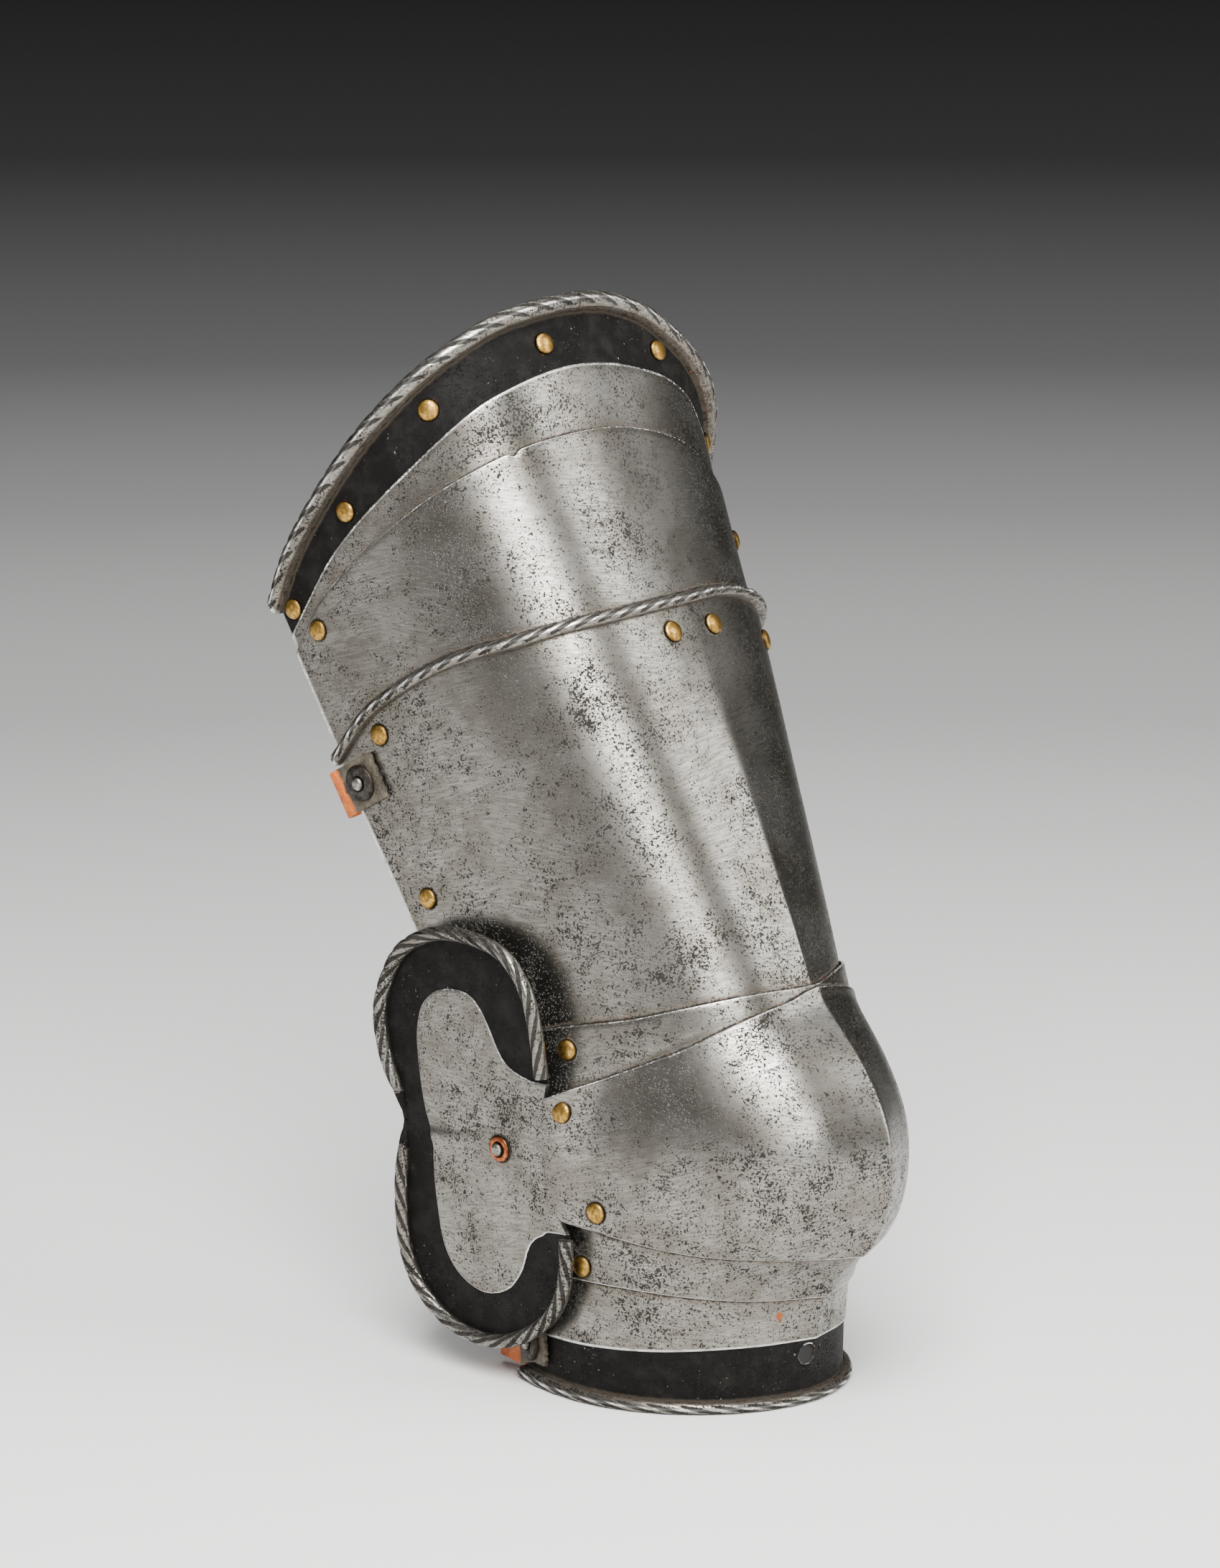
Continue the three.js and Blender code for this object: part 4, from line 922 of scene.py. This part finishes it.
upper_line, lower_line = (even(spline(wing_place(lobe)), 0.7) for lobe in (UPPER_LOBE, LOWER_LOBE))
panel_upper, panel_lower = (
    even(spline(wing_place(half)), 0.8) for half in (PANEL_UPPER, PANEL_LOWER))
panel_line = np.vstack([panel_upper[::-1], panel_lower[1:]])
panel_cusp, copper_at = wing_place(PANEL_UPPER[0])[0], wing_place(COPPER)[0]
print("outline", len(upper_line) + len(lower_line), "points, panel", len(panel_line))

# %% The rope's thickness, which dies away toward the point between the lobes
def rope_radius(line, from_start):
    """Full 20 mm from the point between the lobes, and 0.3 of that at the point."""
    run = run_of(line)
    to_cusp = run if from_start else run[-1] - run
    return WING_ROPE * (0.3 + 0.7 * np.clip((to_cusp - 4.0) / 16.0, 0, 1) ** 0.7)


upper_radius, lower_radius = rope_radius(upper_line, False), rope_radius(lower_line, True)
print("rope radius at the cusp", round(float(upper_radius[-1]), 2))

# %% The wing's face
def distance_to(line, points):
    """Millimetres from each point to a line, and which side: positive on its left."""
    a, b = line[:-1], line[1:]
    away, side = np.full(len(points), 1e9), np.zeros(len(points))
    for start, stop in zip(a, b):
        step, rel = stop - start, points - start
        t = np.clip(rel @ step / (step @ step), 0, 1)
        gap = rel - t[:, None] * step
        far = np.hypot(gap[:, 0], gap[:, 1])
        closer = far < away
        away[closer] = far[closer]
        side[closer] = np.sign(step[0] * rel[closer, 1] - step[1] * rel[closer, 0])
    return away, side


def in_loop(loop, points):
    """Whether each point lies inside a closed line."""
    inside = np.zeros(len(points), bool)
    for (x1, z1), (x2, z2) in zip(loop, np.roll(loop, -1, axis=0)):
        crosses = (z1 > points[:, 1]) != (z2 > points[:, 1])
        with np.errstate(divide="ignore", invalid="ignore"):
            at = x1 + (points[:, 1] - z1) / (z2 - z1) * (x2 - x1)
        inside ^= crosses & (points[:, 0] < at)
    return inside


# Millimetres between the face's points and between those of its edge, how far the lattice
# stays from the panel's edge and from the face's own, and the rails beside the panel's edge
LATTICE, EDGE_STEP, PANEL_CLEAR, EDGE_CLEAR = 1.2, 1.1, 1.1, 0.45
RAILS = (-0.6, -0.2, 0.2, 0.6)


def wing_face():
    """The wing's face as one flat mesh, pressed down outside the panel."""
    rim = [inset(upper_line, upper_radius)[:-1], inset(lower_line, lower_radius)[1:]]
    outline = np.vstack(rim + [wing_place(NECK)])
    outline = even(np.vstack([outline, outline[:1]]), EDGE_STEP)[:-1]
    closed = np.vstack([outline, outline[:1]])
    columns, heights = (np.arange(side.min(), side.max(), LATTICE) for side in outline.T)
    lattice = np.stack([part.ravel() for part in np.meshgrid(columns, heights)], axis=1)
    lattice = lattice[distance_to(panel_line, lattice)[0] > PANEL_CLEAR]
    inside = np.vstack([lattice] + [inset(panel_line, side) for side in RAILS])
    inside = inside[in_loop(outline, inside)]
    inside = inside[distance_to(closed, inside)[0] > EDGE_CLEAR]
    points = np.vstack([outline, inside])
    count = len(outline)
    loop = [(i, (i + 1) % count) for i in range(count)]
    result = delaunay_2d_cdt([Vector(p) for p in points], loop, [list(range(count))], 1, 0.05)
    flat = np.array([tuple(v) for v in result[0]])
    faces = [list(face) for face in result[2]]
    away = distance_to(panel_line, flat)[0]
    on_panel = in_loop(panel_line, flat)
    t = ease(np.clip(0.5 + np.where(on_panel, away, -away) / BAND_STEP, 0, 1))
    out = -BAND_SINK * (1 - t) + wing_crease(flat) * t
    # Millimetres to the panel's edge, where a painted highlight runs, or to the outline plus 1 mm,
    # which keeps it off the outline
    cut_edge = np.minimum(distance_to(closed, flat)[0] + 1.0, away)
    return flat, faces, out, 1 - t, cut_edge


# The soft ridge on the panel: its height, its half width and the run of its start
CREASE_HEIGHT, CREASE_HALF_WIDTH, CREASE_START = 1.4, 3.2, 0.06


def wing_crease(flat):
    """A soft ridge from the point of the panel to the washer."""
    axis = copper_at - panel_cusp
    length = np.linalg.norm(axis)
    rel = flat - panel_cusp
    run = rel @ axis / length ** 2
    side = (rel[:, 0] * axis[1] - rel[:, 1] * axis[0]) / length
    fade = np.clip(1.1 - run, 0, 1) * np.clip((run + CREASE_START) / CREASE_START, 0, 1)
    return CREASE_HEIGHT * fade * np.exp(-((side / CREASE_HALF_WIDTH) ** 2))


def close_sheet(flat, faces, out, wall):
    """Gives a flat mesh its wall: front, back and the strip round its edge."""
    front = lean_out(flat[:, 0], out, flat[:, 1])
    back = lean_out(flat[:, 0], np.full(len(flat), -BAND_SINK - wall), flat[:, 1])
    count = len(flat)
    used = {(a, b) for face in faces for a, b in zip(face, face[1:] + face[:1])}
    rim = [(a, b) for (a, b) in used if (b, a) not in used]
    closed = faces + [[i + count for i in face[::-1]] for face in faces]
    closed += [[b, a, a + count, b + count] for a, b in sorted(rim)]
    return np.vstack([front, back]), closed


print("the panel's step is", BAND_STEP, "mm wide")

# %% The wing's rope
def wing_rope(line, size, hand):
    """A rope on a line of the wing. size: its radius at each point of the line."""
    centre = inset(line, size)
    outward = (line - centre) / np.linalg.norm(line - centre, axis=1, keepdims=True)
    angle = np.linspace(-math.pi, math.pi, 34, endpoint=False)
    share, cut = rope_cuts(
        run_of(centre), angle, WING_ROPE, 10.5, hand, math.radians(80), 1.75)
    full = np.clip((size / WING_ROPE - 0.5) / 0.5, 0, 1)[:, None]
    radius = size[:, None] * (1 - (1 - share) * full)
    side, rise = np.cos(angle)[None, :] * radius, np.sin(angle)[None, :] * radius
    x, z = (centre[:, None, k] + outward[:, None, k] * side for k in (0, 1))
    places = lean_out(x, size[:, None] - BAND_SINK - WALL + rise, z)
    rings, count = x.shape
    grid, faces = tube_faces(rings, count)
    faces += [grid[0].tolist(), grid[-1][::-1].tolist()]
    dark = np.repeat((1 - full) * 0.8, count, axis=1)
    return places.reshape(-1, 3), faces, (cut * full).ravel(), dark.ravel()


def wing_part(name, places, faces, creases=40, **attributes):
    """A mesh of the wing. An attribute that isn't given stays out of reach."""
    plain = {"groove": 0.0, "rust": 0.0, "edge": 6.0, "cover": FAR, "seat": FAR}
    filled = {key: np.full(len(places), value) for key, value in plain.items()}
    return write_mesh(name, places, faces, STEEL, filled | attributes, creases)


print("wing functions ready")

# %% Make the wing
flat, faces, out, band, edge = wing_face()
places, closed = close_sheet(flat, faces, out, WALL)
washer_seat = nearest(places, [lean_out(copper_at[0], 0, copper_at[1])]) - 1.2
made_wing = [wing_part(
    "wing_face", places, closed, 30, band=np.tile(band, 2), edge=np.tile(edge, 2),
    seat=washer_seat,
)]
for label, line, size, hand in (
    ("upper", upper_line, upper_radius, 1), ("lower", lower_line, lower_radius, -1),
):
    places, closed, groove, dark = wing_rope(line, size, hand)
    made_wing.append(wing_part("wing_rope_" + label, places, closed, groove=groove, band=dark))
print("wing", [len(piece.data.polygons) for piece in made_wing])

# %% [markdown]
# ## Brass rivets
# Brass heads are hammered to a low dome over iron shanks, and dirt gathers where the dome
# meets the steel. They repeat, so Geometry Nodes puts one turned head on every marked
# place, facing out of the sheet. Copying objects in a loop would do too, but a tree keeps
# the head's size in one place.

# %% Finishes of the small metal pieces
GRIME = "#241c12"
# A shank through the sheet and its hammered-over end, and how far that one reaches
SHANK, PEENED = 1.6, 2.5


def small_metal(name, light, dark, rough, metallic=1.0, grain=700.0):
    """Worn metal of small pieces: clouded colour, scratches, and dirt in the attribute rim."""
    material, tree, shader = new_material(name)
    s = Shading(tree)
    cloud = s.noise(1000.0 / grain, 4.0, 0.5)
    spread = s.ramp(cloud, 0.38, 0.62, kind="LINEAR")
    dirt = s.ramp(s.attribute("rim"), 0.84, 1.0, kind="LINEAR")
    connect(
        tree, shader, Base_Color=s.mix(dirt, s.mix(spread, light, dark), GRIME),
        Roughness=s.ramp(spread, 0.0, 1.0, rough, rough + 0.18, kind="LINEAR"),
        Metallic=metallic, Normal=s.bump(0.4, 0.0004, cloud),
    )
    return material


BRASS = small_metal("aged_turned_brass", "#ba944c", "#7f612e", 0.3)
COPPER_METAL = small_metal("worn_copper_washer", "#c07046", "#80432a", 0.32)
STUD_STEEL = small_metal("filed_iron_stud", "#a3a09a", "#5f5a53", 0.34)
DARK_IRON = small_metal("dark_patinated_iron", "#4a4642", "#262320", 0.5, 0.9, 500.0)


def lathe(name, profile, material, sides=40):
    """A closed turned shape along +Z. profile: radius and height, from the top to the foot."""
    profile = np.array(profile, float)
    angle = np.linspace(0, 2 * math.pi, sides, endpoint=False)
    round_ = np.stack([np.cos(angle), np.sin(angle), np.zeros(sides)], axis=1)
    places = np.vstack([round_ * r + [0, 0, z] for r, z in profile])
    faces = ring_faces(len(profile), sides)
    rims = np.repeat(profile[:, 0] / profile[:, 0].max(), sides)
    if np.array_equal(profile[0], profile[-1]):
        places, rims = places[:-sides], rims[:-sides]
        faces = [[v % len(places) for v in face] for face in faces]
    else:
        last = len(places) - 1
        faces += [list(range(sides)), list(range(last, last - sides, -1))]
    return write_mesh(name, places - SHIFT, faces, material, {"rim": rims}, creases=50)


def rivet_head(name, radius, height, grip):
    """A brass head and its shank. grip: the thickness of sheet that it holds."""
    dome = [
        (radius * math.sin(t), height * math.cos(t) ** 0.8) for t in np.linspace(0.08, 1.5, 11)]
    shank = [(radius, -0.25), (SHANK, -0.3), (SHANK, -grip)]
    end = [(PEENED, -grip), (2.2, -grip - 0.8), (0.3, -grip - 0.9)]
    return lathe(name, dome + shank + end, BRASS)


print("small metals", [metal.name for metal in (BRASS, COPPER_METAL, STUD_STEEL, DARK_IRON)])


# %% The tree that sets heads on marked places
def seat_tree(material):
    tree = bpy.data.node_groups.new("heads_on_places", "GeometryNodeTree")
    new_socket = tree.interface.new_socket
    new_socket("Geometry", in_out="INPUT", socket_type="NodeSocketGeometry")
    head = new_socket("Head", in_out="INPUT", socket_type="NodeSocketObject")
    new_socket("Geometry", in_out="OUTPUT", socket_type="NodeSocketGeometry")
    entry, leave = tree.nodes.new("NodeGroupInput"), tree.nodes.new("NodeGroupOutput")
    facing = node(
        tree, "GeometryNodeInputNamedAttribute", {"data_type": "FLOAT_VECTOR"}, Name="facing")
    turned = node(
        tree, "FunctionNodeAlignRotationToVector", {"axis": "Z"}, Vector=facing.outputs[0])
    info = node(tree, "GeometryNodeObjectInfo", None, Object=entry.outputs["Head"])
    put = node(
        tree, "GeometryNodeInstanceOnPoints", None, Points=entry.outputs["Geometry"],
        Instance=info.outputs["Geometry"], Rotation=turned.outputs[0],
    )
    real = node(tree, "GeometryNodeRealizeInstances", None, Geometry=put.outputs[0])
    painted = node(
        tree, "GeometryNodeSetMaterial", None, Geometry=real.outputs[0], Material=material)
    tree.links.new(painted.outputs[0], leave.inputs[0])
    return tree, head.identifier


def seat_heads(name, head, places, facings, material):
    """One plain mesh of a head on every place."""
    mesh = bpy.data.meshes.new(name + "_places")
    mesh.from_pydata(((np.array(places) + SHIFT) / 1000).tolist(), [], [])
    layer = mesh.attributes.new("facing", "FLOAT_VECTOR", "POINT")
    layer.data.foreach_set("vector", np.ascontiguousarray(facings, dtype=np.float32).ravel())
    marks = add_object(name + "_places", mesh)
    modifier = marks.modifiers.new("heads", "NODES")
    modifier.node_group, head_key = seat_tree(material)
    modifier[head_key] = head
    solid = shaped(marks)
    bpy.data.objects.remove(marks)
    print(name, len(places), "heads", len(solid.polygons), "faces")
    return add_object(name, solid)


# %% Seats for the heads
# The layer of the plate that each knee pair's heads lie on
PIVOT_LAYERS = [1, 2, 2, 1]
RIVET_RADIUS, RIVET_HEIGHT = 4.4, 2.2


def seats(rows, layer, sunk=0.0, lift=0.1):
    """Places and facings of heads on a layer's face, or on its sunk border."""
    turn, level = np.array(rows, float).T
    normal = limb_normal(turn, level, layer * LAYER)
    return limb(turn, level, layer * LAYER) + normal * (lift - sunk), normal


def pair(index):
    """A turning pair. On the cop the outer rivet follows the side that is drawn out."""
    turn, level = PIVOTS[index]
    places, normals = seats([(-turn, level), (turn, level)], PIVOT_LAYERS[index])
    if PIVOT_LAYERS[index] == 2:
        places[:1] += neck_shift(np.array([-turn]), np.array([level]), 2 * LAYER)
    return places, normals


short = rivet_head("rivet_short", RIVET_RADIUS, RIVET_HEIGHT, 2.2)
long_ = rivet_head("rivet_long", RIVET_RADIUS, RIVET_HEIGHT, 4.1)
top_rivets = seat_heads("top_rivets", short, *seats(BAND_RIVETS, -2, BAND_SINK), BRASS)
main_places = zip(seats(UPPER_RIVETS, -1), seats(MAIN_RIVETS, 0))
main_rivets = seat_heads("main_rivets", long_, *[np.vstack(rows) for rows in main_places], BRASS)
side_rivet = seat_heads("side_rivet", short, *seats(SIDE_RIVET, 0), BRASS)
knee_rivets = [seat_heads(f"knee_rivets_{i + 1}", long_, *pair(i), BRASS) for i in range(4)]

# %% [markdown]
# ## Washers and studs
# The washers bridge the curve of the sheet, so they sit on the middle of the solids that
# they stand for. They are turned shapes like the rivets, three of them, placed one by one.

# %% Make the washers and studs
# The leg of a strap on the outside, and the levels of the two straps
STRAP_LEG = 19.0
STRAP_LEVELS = {"thigh": 1.452, "calf": 0.125}
STRAP_TOP = 2.8


def middle(name):
    """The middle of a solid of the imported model."""
    low, high = (np.array(corner, float) * 1000 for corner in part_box(name))
    return (low + high) / 2 - SHIFT


def strap_facing(level):
    """The way that the middle of a strap's outside leg faces."""
    end = -OUTER_END(level)
    span = np.linalg.norm(limb(end, level, STRAP_TOP) - limb(end + 1, level, STRAP_TOP))
    return limb_normal(end + STRAP_LEG / 2 / span, level, STRAP_TOP)


def ring_profile(inner, outer, thick):
    return [
        (inner, thick * 0.55), (inner + 0.5, thick), (outer * 0.72, thick),
        (outer * 0.9, thick * 0.8), (outer, thick * 0.35), (outer, 0.0), (inner, 0.0),
        (inner, thick * 0.55),
    ]


def washer(name, replaced, facing, inner, outer, thick, material, stud):
    """A washer and the stud through it. stud: the radius of its head."""
    facing = np.array(facing) / np.linalg.norm(facing)
    seat = middle(replaced) - facing * thick / 2
    ring = lathe(name + "_turned", ring_profile(inner, outer, thick), material)
    pin = lathe(name + "_pin", [
        (0.3, 1.9), (stud * 0.6, 1.75), (stud * 0.9, 1.2), (stud, 0.5), (stud, 0.0),
        (SHANK, -0.05), (SHANK, -5.0), (PEENED, -5.0), (0.3, -5.8),
    ], STUD_STEEL)
    made = [
        seat_heads(name, ring, [seat], [facing], material),
        seat_heads(name + "_stud", pin, [seat + facing * (thick * 0.9)], [facing], STUD_STEEL),
    ]
    for source in (ring, pin):
        bpy.data.objects.remove(source)
    return made


copper_parts = washer(
    "copper_ring", "copper_washer", (0, -1, -WING_LEAN), 2.9, 5.5, 1.1, COPPER_METAL, 2.7)
strap_washers = {
    label: washer(
        label + "_ring", label + "_strap_washer", strap_facing(level), 2.7, 7.4, 1.4, DARK_IRON,
        2.8,
    ) for label, level in STRAP_LEVELS.items()
}
for source in (short, long_):
    bpy.data.objects.remove(source)
print("washers", 1 + len(strap_washers))

# %% [markdown]
# ## Leather strap stubs
# The straps are thick vegetable-tanned leather, cut off short: a square patch riveted on
# the outside, folded round the rear edge of the plate and back inside. Where hands and
# polish reached it the patch is nearly black, and in the fold the leather is still orange.
# A ribbon of faces follows that path, and Solidify and Bevel give it the real 2 mm and its
# cut edges. A cloth simulation would only loosen a piece this short and stiff.

# %% Vegetable-tanned strap leather
TAN, TAN_DARK, SOILED, SOILED_DARK = "#d26c1b", "#944815", "#514a3b", "#2b251c"


def leather():
    material, tree, shader = new_material("vegetable_tanned_strap_leather")
    s = Shading(tree)
    grain = node(
        tree, "ShaderNodeTexVoronoi", {"feature": "SMOOTH_F1"}, Vector=s.place, Scale=900.0)
    cloud = s.noise(1000.0 / 190.0, 6.0, 0.65)
    spread = s.ramp(cloud, 0.38, 0.64, kind="LINEAR")
    ragged = s.plus(s.times(cloud, 0.7), s.attribute("fold"))
    share = s.ramp(ragged, 0.75, 0.9, kind="LINEAR")
    relief = s.plus(s.times(grain.outputs[0], 0.6), cloud)
    connect(
        tree, shader, Roughness=0.66, Normal=s.bump(0.7, 0.0009, relief), Base_Color=s.mix(
            share, s.mix(spread, SOILED_DARK, SOILED), s.mix(spread, TAN, TAN_DARK)),
    )
    return material


LEATHER = leather()
print("made", LEATHER.name)

# %% The strap maker
STRAP_THICK, STRAP_AIR = 2.0, 0.8


def strap(name, level, width, sink, fold, droop=0.0):
    """A ribbon from the patch outside, round the rear edge, to the leg inside."""
    end = -float(OUTER_END(level))
    span = np.linalg.norm(limb(end, level, 0) - limb(end + 1, level, 0))
    leg = STRAP_LEG / span
    outside = STRAP_AIR + STRAP_THICK / 2
    inner = -sink - WALL - outside
    half = width / 2 / float(level_span(level))
    rows = []
    for lv in np.linspace(level - half, level + half, 13):
        rear = limb(end, lv, 0) - limb(end + 1, lv, 0)
        rear /= np.linalg.norm(rear)
        shares = np.linspace(1, 0, 12)
        worn_end = 0.5 * math.sin(lv * 431.0) / span
        front_leg = limb(end + (leg + worn_end) * shares, lv, outside)
        back_leg = limb(end + leg * shares[::-1], lv, inner)
        a, b = front_leg[-1], back_leg[0]
        turn = np.linspace(0, math.pi, 13)[1:-1, None]
        reach = rear * (fold - STRAP_THICK / 2) * np.sin(turn) ** 0.8
        row = np.vstack([front_leg, (a + b) / 2 + (a - b) / 2 * np.cos(turn) + reach, back_leg])
        row[:, 2] -= droop * np.clip((np.arange(len(row)) - 4) / 12, 0, 1)
        rows.append(row)
    rows = np.array(rows)
    across, count = rows.shape[:2]
    grid = np.arange(across * count).reshape(across, count)
    corners = [grid[:-1, :-1], grid[:-1, 1:], grid[1:, 1:], grid[1:, :-1]]
    faces = np.stack(corners, axis=-1).reshape(-1, 4).tolist()
    how_folded = np.tile(np.clip((np.arange(count) - 9) / 4, 0, 1), across)
    made = write_mesh(
        name, rows.reshape(-1, 3), faces, LEATHER, {"fold": how_folded}, closed=False)
    wall = made.modifiers.new("wall", "SOLIDIFY")
    wall.thickness, wall.offset = STRAP_THICK / 1000, 0.0
    edge = made.modifiers.new("cut_edge", "BEVEL")
    edge.width, edge.segments, edge.limit_method = 0.00045, 2, "ANGLE"
    return settle(made)


thigh_leather = strap("thigh_leather", STRAP_LEVELS["thigh"], 19.0, 0.0, 7.8)
calf_leather = strap("calf_leather", STRAP_LEVELS["calf"], 14.0, BAND_SINK, 26.0, droop=7.0)
print("straps", len(thigh_leather.data.polygons), len(calf_leather.data.polygons))

# %% [markdown]
# ## Every piece rides on its body
# The knee plates turn on the brass pairs, each pair riveted to the outer plate of the two.
# Each fine piece stands for the plain solid of the same plate, which stays for collision.

# %% Ride and replace
def stand_for(pieces, body, slot, *nodes):
    """Puts pieces on a body in place of the named solids. slot: not used."""
    for piece in pieces:
        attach(piece, body)
    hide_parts(*nodes)


PLATE_BODIES = {
    "top_plate": "top_plate", "upper_plate": "cuisse", "main_plate": "cuisse",
    "upper_knee_lame": "upper_lame", "poleyn": "poleyn", "lower_knee_lame": "lower_lame",
    "bottom_lame": "bottom_lame",
}
for name, body in PLATE_BODIES.items():
    stand_for([made_plates[name]], body, "plate_steel", name)
for piece in made_wing:
    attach(piece, "poleyn")
stand_for([top_rivets], "top_plate", "brass", *[f"band_rivet_{i}" for i in range(1, 7)])
stand_for([main_rivets], "cuisse", "brass", "upper_rivet_outer", "upper_rivet_inner",
          *[f"main_rivet_{i}" for i in range(1, 5)])
stand_for([side_rivet], "cuisse", "brass", "main_rivet_5")
for i, body in enumerate(("upper_lame", "poleyn", "poleyn", "lower_lame")):
    solids = [f"knee_rivet_{i + 1}_{side}" for side in ("outer", "inner")]
    stand_for([knee_rivets[i]], body, "brass", *solids)
stand_for([copper_parts[0]], "poleyn", "copper", "copper_washer")
stand_for([copper_parts[1]], "poleyn", "fastener_steel", "copper_washer_stud")
for label, body, piece in (
    ("thigh", "cuisse", thigh_leather), ("calf", "bottom_lame", calf_leather),
):
    stand_for([piece], body, "leather", label + "_strap")
    ring, stud = strap_washers[label]
    stand_for([ring], body, "dark_steel", label + "_strap_washer")
    stand_for([stud], body, "fastener_steel", label + "_strap_washer_stud")
print("pieces ride on", sorted(set(PLATE_BODIES.values())))

# %% [markdown]
# ## Floor, light and camera
# Pale studio paper lies flat round the piece and curves up into a wall. Its colour is
# painted from pale to charcoal as it rises: painted shade, where the light falls off up
# the wall. Steel shows what stands round it: one large soft box above the camera draws the
# broad bright stripe up the limb, the dark upper walls leave its flanks grey, and weaker
# boxes in front, at the sides and above open the shadows. The camera stands where the
# photograph was taken from: 44 degrees round from the outer side toward the front, 9 up.

# %% The graded paper
FLAT_RADIUS, CURVE_RADIUS, WALL_TOP, PAPER_SIDES = 1.9, 2.4, 3.2, 96
# Height in metres and tone, painted darker higher up: painted shade where the light falls off
PAPER_TONES = [
    (0.0, "#ebeae8"), (0.6, "#303030"), (0.02, "#e2e1df"), (0.1, "#b4b4b3"), (0.22, "#7c7c7c"),
    (0.42, "#434343"),
]


def paper():
    material, tree, shader = new_material("studio_paper_painted_darker_upward")
    place = node(tree, "ShaderNodeTexCoord").outputs["Object"]
    # The tone follows height: painted shade, darker up the wall
    rise = node(tree, "ShaderNodeSeparateXYZ", None, Vector=place).outputs["Z"]
    blend = node(tree, "ShaderNodeValToRGB", None, Fac=rise)
    stops = blend.color_ramp.elements
    for stop, (position, tone) in zip(stops, PAPER_TONES[:2]):
        stop.position, stop.color = position, colour(tone)
    for position, tone in PAPER_TONES[2:]:
        stops.new(position).color = colour(tone)
    connect(
        tree, shader, Base_Color=blend.outputs[0], Roughness=0.9, Specular_IOR_Level=0.1)
    return material


def paper_profile():
    """Radius and height of the paper, from its middle out to the top of the wall."""
    curve_rows = [
        (FLAT_RADIUS + CURVE_RADIUS * math.sin(t), CURVE_RADIUS * (1 - math.cos(t)))
        for t in np.radians(np.arange(0, 91, 3))
    ]
    return [(0.3, 0.0), (1.0, 0.0)] + curve_rows + [(FLAT_RADIUS + CURVE_RADIUS, WALL_TOP)]


turns = np.linspace(0, 2 * math.pi, PAPER_SIDES, endpoint=False)
places = [(r * math.cos(t), r * math.sin(t), z) for r, z in paper_profile() for t in turns]
floor_faces = [list(range(PAPER_SIDES))] + ring_faces(len(paper_profile()), PAPER_SIDES)
floor_mesh = bpy.data.meshes.new("studio_paper")
floor_mesh.from_pydata(places, [], floor_faces)
floor_mesh.materials.append(paper())
floor_mesh.shade_smooth()
floor = add_object("studio_paper", floor_mesh)
print("paper", len(floor_faces), "faces")

# %% The camera
CAMERA_TURN, CAMERA_RISE, CAMERA_DISTANCE = math.radians(44), math.radians(9), 1800.0
PHOTO_WIDTH, PHOTO_HEIGHT, SCALE, SENSOR = 1699, 2184, 0.284, 36.0
# The front of the foot rope, and the pixel of the photograph where it is
ANCHOR, ANCHOR_PIXEL = np.array([62.0, 0.0, 3.0]), (1130, 1943)
level_part = math.cos(CAMERA_RISE)
toward = np.array([math.sin(CAMERA_TURN), -math.cos(CAMERA_TURN), 0.0])
back = toward * level_part + [0, 0, math.sin(CAMERA_RISE)]
right = np.array([math.cos(CAMERA_TURN), math.sin(CAMERA_TURN), 0.0])
up = np.cross(back, right)
target = np.array([0.0, 0.0, 240.0])
for _ in range(60):
    away = ANCHOR - (target + back * CAMERA_DISTANCE)
    depth = -(away @ back)
    px = PHOTO_WIDTH / 2 + CAMERA_DISTANCE / SCALE * (away @ right) / depth
    py = PHOTO_HEIGHT / 2 - CAMERA_DISTANCE / SCALE * (away @ up) / depth
    target = target + right * (px - ANCHOR_PIXEL[0]) * SCALE
    target = target + np.array([0, 0, 1]) * (ANCHOR_PIXEL[1] - py) * SCALE / level_part

camera_data = bpy.data.cameras.new("photo_camera")
camera_data.sensor_fit = "VERTICAL"
camera_data.sensor_height = SENSOR
camera_data.lens = SENSOR * CAMERA_DISTANCE / SCALE / PHOTO_HEIGHT
camera_data.clip_end = 60.0
camera = add_object("photo_camera", camera_data)
camera.location = (target + back * CAMERA_DISTANCE + SHIFT) / 1000
camera.rotation_euler = Vector(back.tolist()).to_track_quat("Z", "Y").to_euler()
bpy.context.scene.camera = camera
print("lens", round(camera_data.lens, 1), "camera at", [round(v, 3) for v in camera.location])

# %% The lamps
LEG_MIDDLE = np.array([0.0, 0.0, 0.22])
# Metres from the leg to the camera's right, toward the camera and up, then the width and
# height of the box, and its watts
LAMPS = {
    "key_box": (-0.05, 1.25, 1.45, 0.9, 1.2, 84),
    "front_box": (0.35, 2.0, 0.85, 1.0, 0.9, 26),
    "left_box": (-1.6, 0.5, 0.6, 0.7, 1.2, 1.5),
    "right_box": (1.5, 0.5, 0.9, 0.9, 1.5, 28),
    "top_box": (0.1, 0.0, 2.2, 1.4, 1.4, 24),
}
for name, (aside, ahead, height, width, tall, watts) in LAMPS.items():
    data = bpy.data.lights.new(name, "AREA")
    data.shape = "RECTANGLE"
    data.size, data.size_y, data.energy = width, tall, watts
    lamp = add_object(name, data)
    lamp.location = right * aside + toward * ahead + [0, 0, height]
    aim = Vector((np.array(lamp.location) - LEG_MIDDLE).tolist())
    lamp.rotation_euler = aim.to_track_quat("Z", "Y").to_euler()

world = bpy.data.worlds.new("studio_air")
world.use_nodes = True
air = world.node_tree.nodes["Background"]
air.inputs["Color"].default_value, air.inputs["Strength"].default_value = colour("#c9cbce"), 0.35
bpy.context.scene.world = world
bpy.context.scene.view_settings.view_transform = "AgX"
print("lamps", list(LAMPS))
